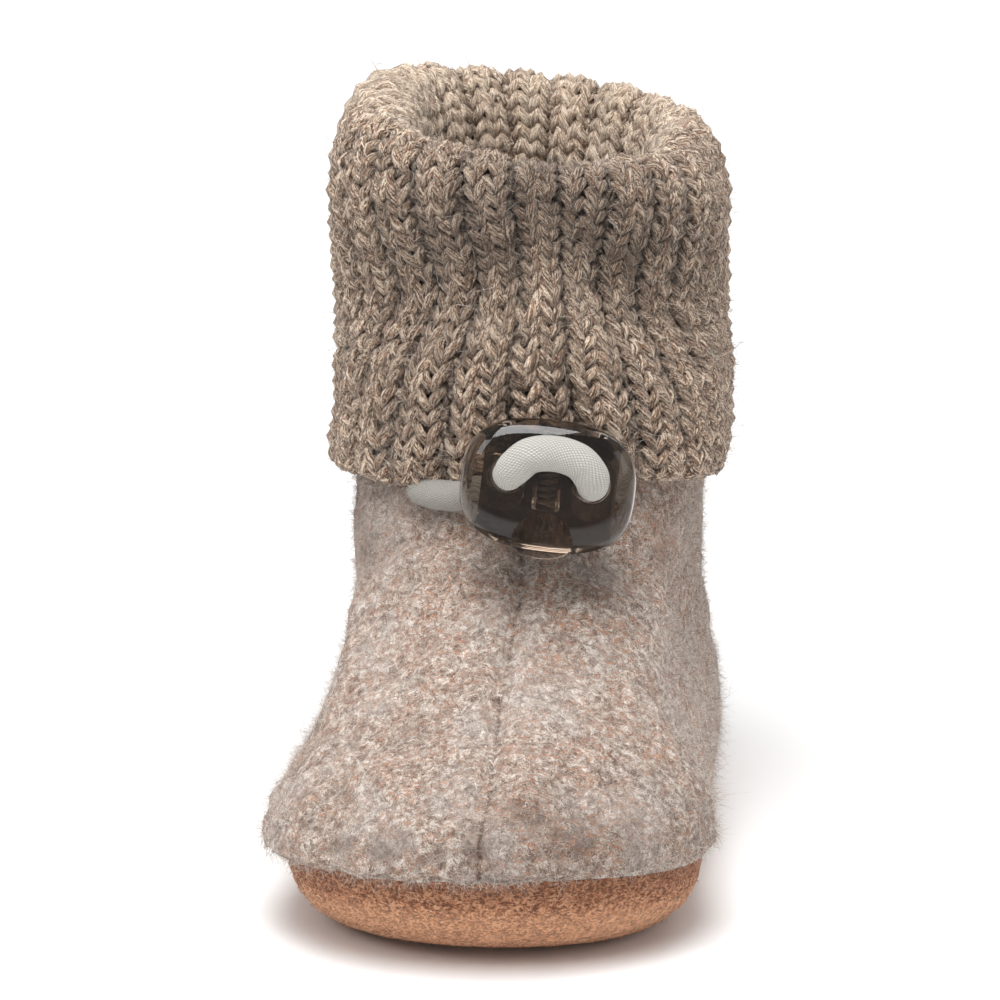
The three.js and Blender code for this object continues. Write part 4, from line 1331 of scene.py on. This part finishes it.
def build_spring():
    """The coil: a helix from the floor of the bore to the crown of the slot, with round wire."""
    low = BORE_FLOOR_Z + GAP + SPRING["wire"] / 2
    high = SLOT["crown_z"] - GAP - SPRING["wire"] / 2
    steps, sides = 200, 10
    share = np.linspace(0, 1, steps)
    angle = TURN * SPRING["coils"] * share
    radius = SPRING["radius"]
    path = np.stack([radius * np.cos(angle), radius * np.sin(angle), low + (high - low) * share], -1)
    normals = np.stack([np.cos(angle), np.sin(angle), 0 * angle], -1)
    rings = tube(path, normals, np.full(steps, SPRING["wire"] / 2), sides)
    ends = np.stack([np.arange(sides)[::-1], np.arange(sides) + sides * (steps - 1)])
    faces = grid_faces(steps, sides, wrap_columns=True)
    mesh = mesh_of("stopper_coil", in_shoe(rings.reshape(-1, 3)), faces, ends)
    coil = place(mesh, steel_paint(), "spring_steel", "stopper_spring")
    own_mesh(coil)


def cord_route():
    """The cord's points: the left route, straight through the stopper, the bight, back through, and the right
    route."""
    face = SHELL["depth"]
    end = face + STRAIGHT_PAST_SHELL
    back = in_shoe([(-HOLE_X, y, HOLE_Z) for y in (end, face, -face, -end)])
    forth = in_shoe([(HOLE_X, y, HOLE_Z) for y in (-end, -face, face, end)])
    return np.concatenate([LEFT_ROUTE, back, in_shoe(BIGHT), forth, RIGHT_ROUTE])


def curve_through(points, steps):
    """A centripetal Catmull-Rom curve: each stretch is a cubic whose end slopes weigh the neighbouring
    stretches by the square roots of their lengths. Its first and last neighbours are mirrored."""
    p = np.concatenate([[2 * points[0] - points[1]], points, [2 * points[-1] - points[-2]]])
    gap = np.sqrt(np.linalg.norm(np.diff(p, axis=0), axis=-1))[:, None]
    slope = np.diff(p, axis=0) / gap
    blend = (p[2:] - p[:-2]) / (gap[1:] + gap[:-1])
    knot = slope[:-1] - blend + slope[1:]
    t = np.linspace(0, 1, steps, endpoint=False)[None, :, None]
    a, b = points[:-1, None], points[1:, None]
    m0, m1 = (knot[:-1] * gap[1:-1])[:, None], (knot[1:] * gap[1:-1])[:, None]
    cubic = a + t * (m0 + t * (3 * (b - a) - 2 * m0 - m1 + t * (2 * (a - b) + m0 + m1)))
    return np.concatenate([cubic.reshape(-1, 3), points[-1:]])


def build_cord():
    """The drawcord: a round tube along its route, fuller in the bight."""
    steps, sides, hidden_end = 260, 28, 4
    path = curve_through(cord_route(), 14)
    step = np.linalg.norm(np.diff(path, axis=0), axis=-1)
    along = np.concatenate([[0], np.cumsum(step)])
    even = np.linspace(hidden_end, along[-1] - hidden_end, steps)
    path = np.stack([np.interp(even, along, column) for column in path.T], -1)
    local_front = (path - STOPPER_CENTRE) @ (in_shoe([[0, -1, 0]])[0] - STOPPER_CENTRE)
    proud = smooth((local_front - SHELL["depth"] - 0.5) / 3)
    radius = CORD_DIAMETER / 2 + BIGHT_SWELL * proud
    normals = np.broadcast_to([0.0, 0.1, 1.0], path.shape)
    rings = tube(path, normals, radius, sides)
    ends = np.stack([np.arange(sides)[::-1], np.arange(sides) + sides * (steps - 1)])
    around = np.linspace(0, math.pi * CORD_DIAMETER, sides + 1)
    uv = np.concatenate([grid_map(around, even), np.zeros((2 * sides, 2))])
    # painted shade where the cord runs back from the stopper under the cuff
    tucked = np.repeat(smooth((local_front + SHELL["depth"]) / -3), sides)
    faces = grid_faces(steps, sides, wrap_columns=True)
    mesh = mesh_of("drawcord_braid", rings.reshape(-1, 3), faces, ends, uv=uv, fields={"tucked": tucked})
    place(mesh, cord_paint(), "elastic_cord", "drawcord")


# Studio

def build_studio():
    """A pale floor, four soft lights, an even sky and the camera at the photograph's angle."""
    side = 3000.0
    corners = np.array([[-side, -side, 0], [side, -side, 0], [side, side, 0], [-side, side, 0]])
    floor = bpy.data.objects.new("floor", mesh_of("floor", corners, np.array([[0, 1, 2, 3]])))
    floor.data.materials.append(floor_paint())
    bpy.context.scene.collection.objects.link(floor)

    target = Vector((0, 0, 55 * MM))
    lights = (
        ("top_light", (-0.05, -0.30, 1.05), 0.70, 13.5),
        ("left_softbox", (-0.65, -0.60, 0.75), 0.40, 1.9),
        ("right_softbox", (0.90, -0.25, 0.50), 0.50, 0.9),
        ("back_light", (0.10, 1.10, 0.75), 0.90, 5.0),
    )
    for name, spot, size, power in lights:
        light = bpy.data.lights.new(name, "AREA")
        light.size = size
        light.energy = power
        lamp = bpy.data.objects.new(name, light)
        lamp.location = spot
        lamp.rotation_euler = (target - Vector(spot)).to_track_quat("-Z", "Y").to_euler()
        bpy.context.scene.collection.objects.link(lamp)

    world = bpy.data.worlds.new("studio")
    world.use_nodes = True
    world.node_tree.nodes["Background"].inputs["Color"].default_value = (1, 1, 1, 1)
    world.node_tree.nodes["Background"].inputs["Strength"].default_value = 0.40
    bpy.context.scene.world = world
    bpy.context.scene.view_settings.view_transform = "Standard"

    azimuth, elevation, distance = math.radians(5.5), math.radians(15), 0.95
    frame_pixels, pixels_per_mm, target_pixel = 1000, 6.95, (517, 482)
    level = math.cos(elevation)
    direction = Vector((math.sin(azimuth) * level, -math.cos(azimuth) * level, math.sin(elevation)))
    lens = bpy.data.cameras.new("camera")
    lens.sensor_width = 36
    lens.lens = 36 * pixels_per_mm * distance / MM / frame_pixels
    lens.shift_x = (frame_pixels / 2 - target_pixel[0]) / frame_pixels
    lens.shift_y = (target_pixel[1] - frame_pixels / 2) / frame_pixels
    lens.clip_end = 20
    camera = bpy.data.objects.new("camera", lens)
    camera.location = target + direction * distance
    camera.rotation_euler = (-direction).to_track_quat("-Z", "Y").to_euler()
    bpy.context.scene.collection.objects.link(camera)
    bpy.context.scene.camera = camera


build_studio()
build_cord()
build_stopper()
build_sole()
build_insole()
build_upper_hairs(*build_upper())
build_cuff()
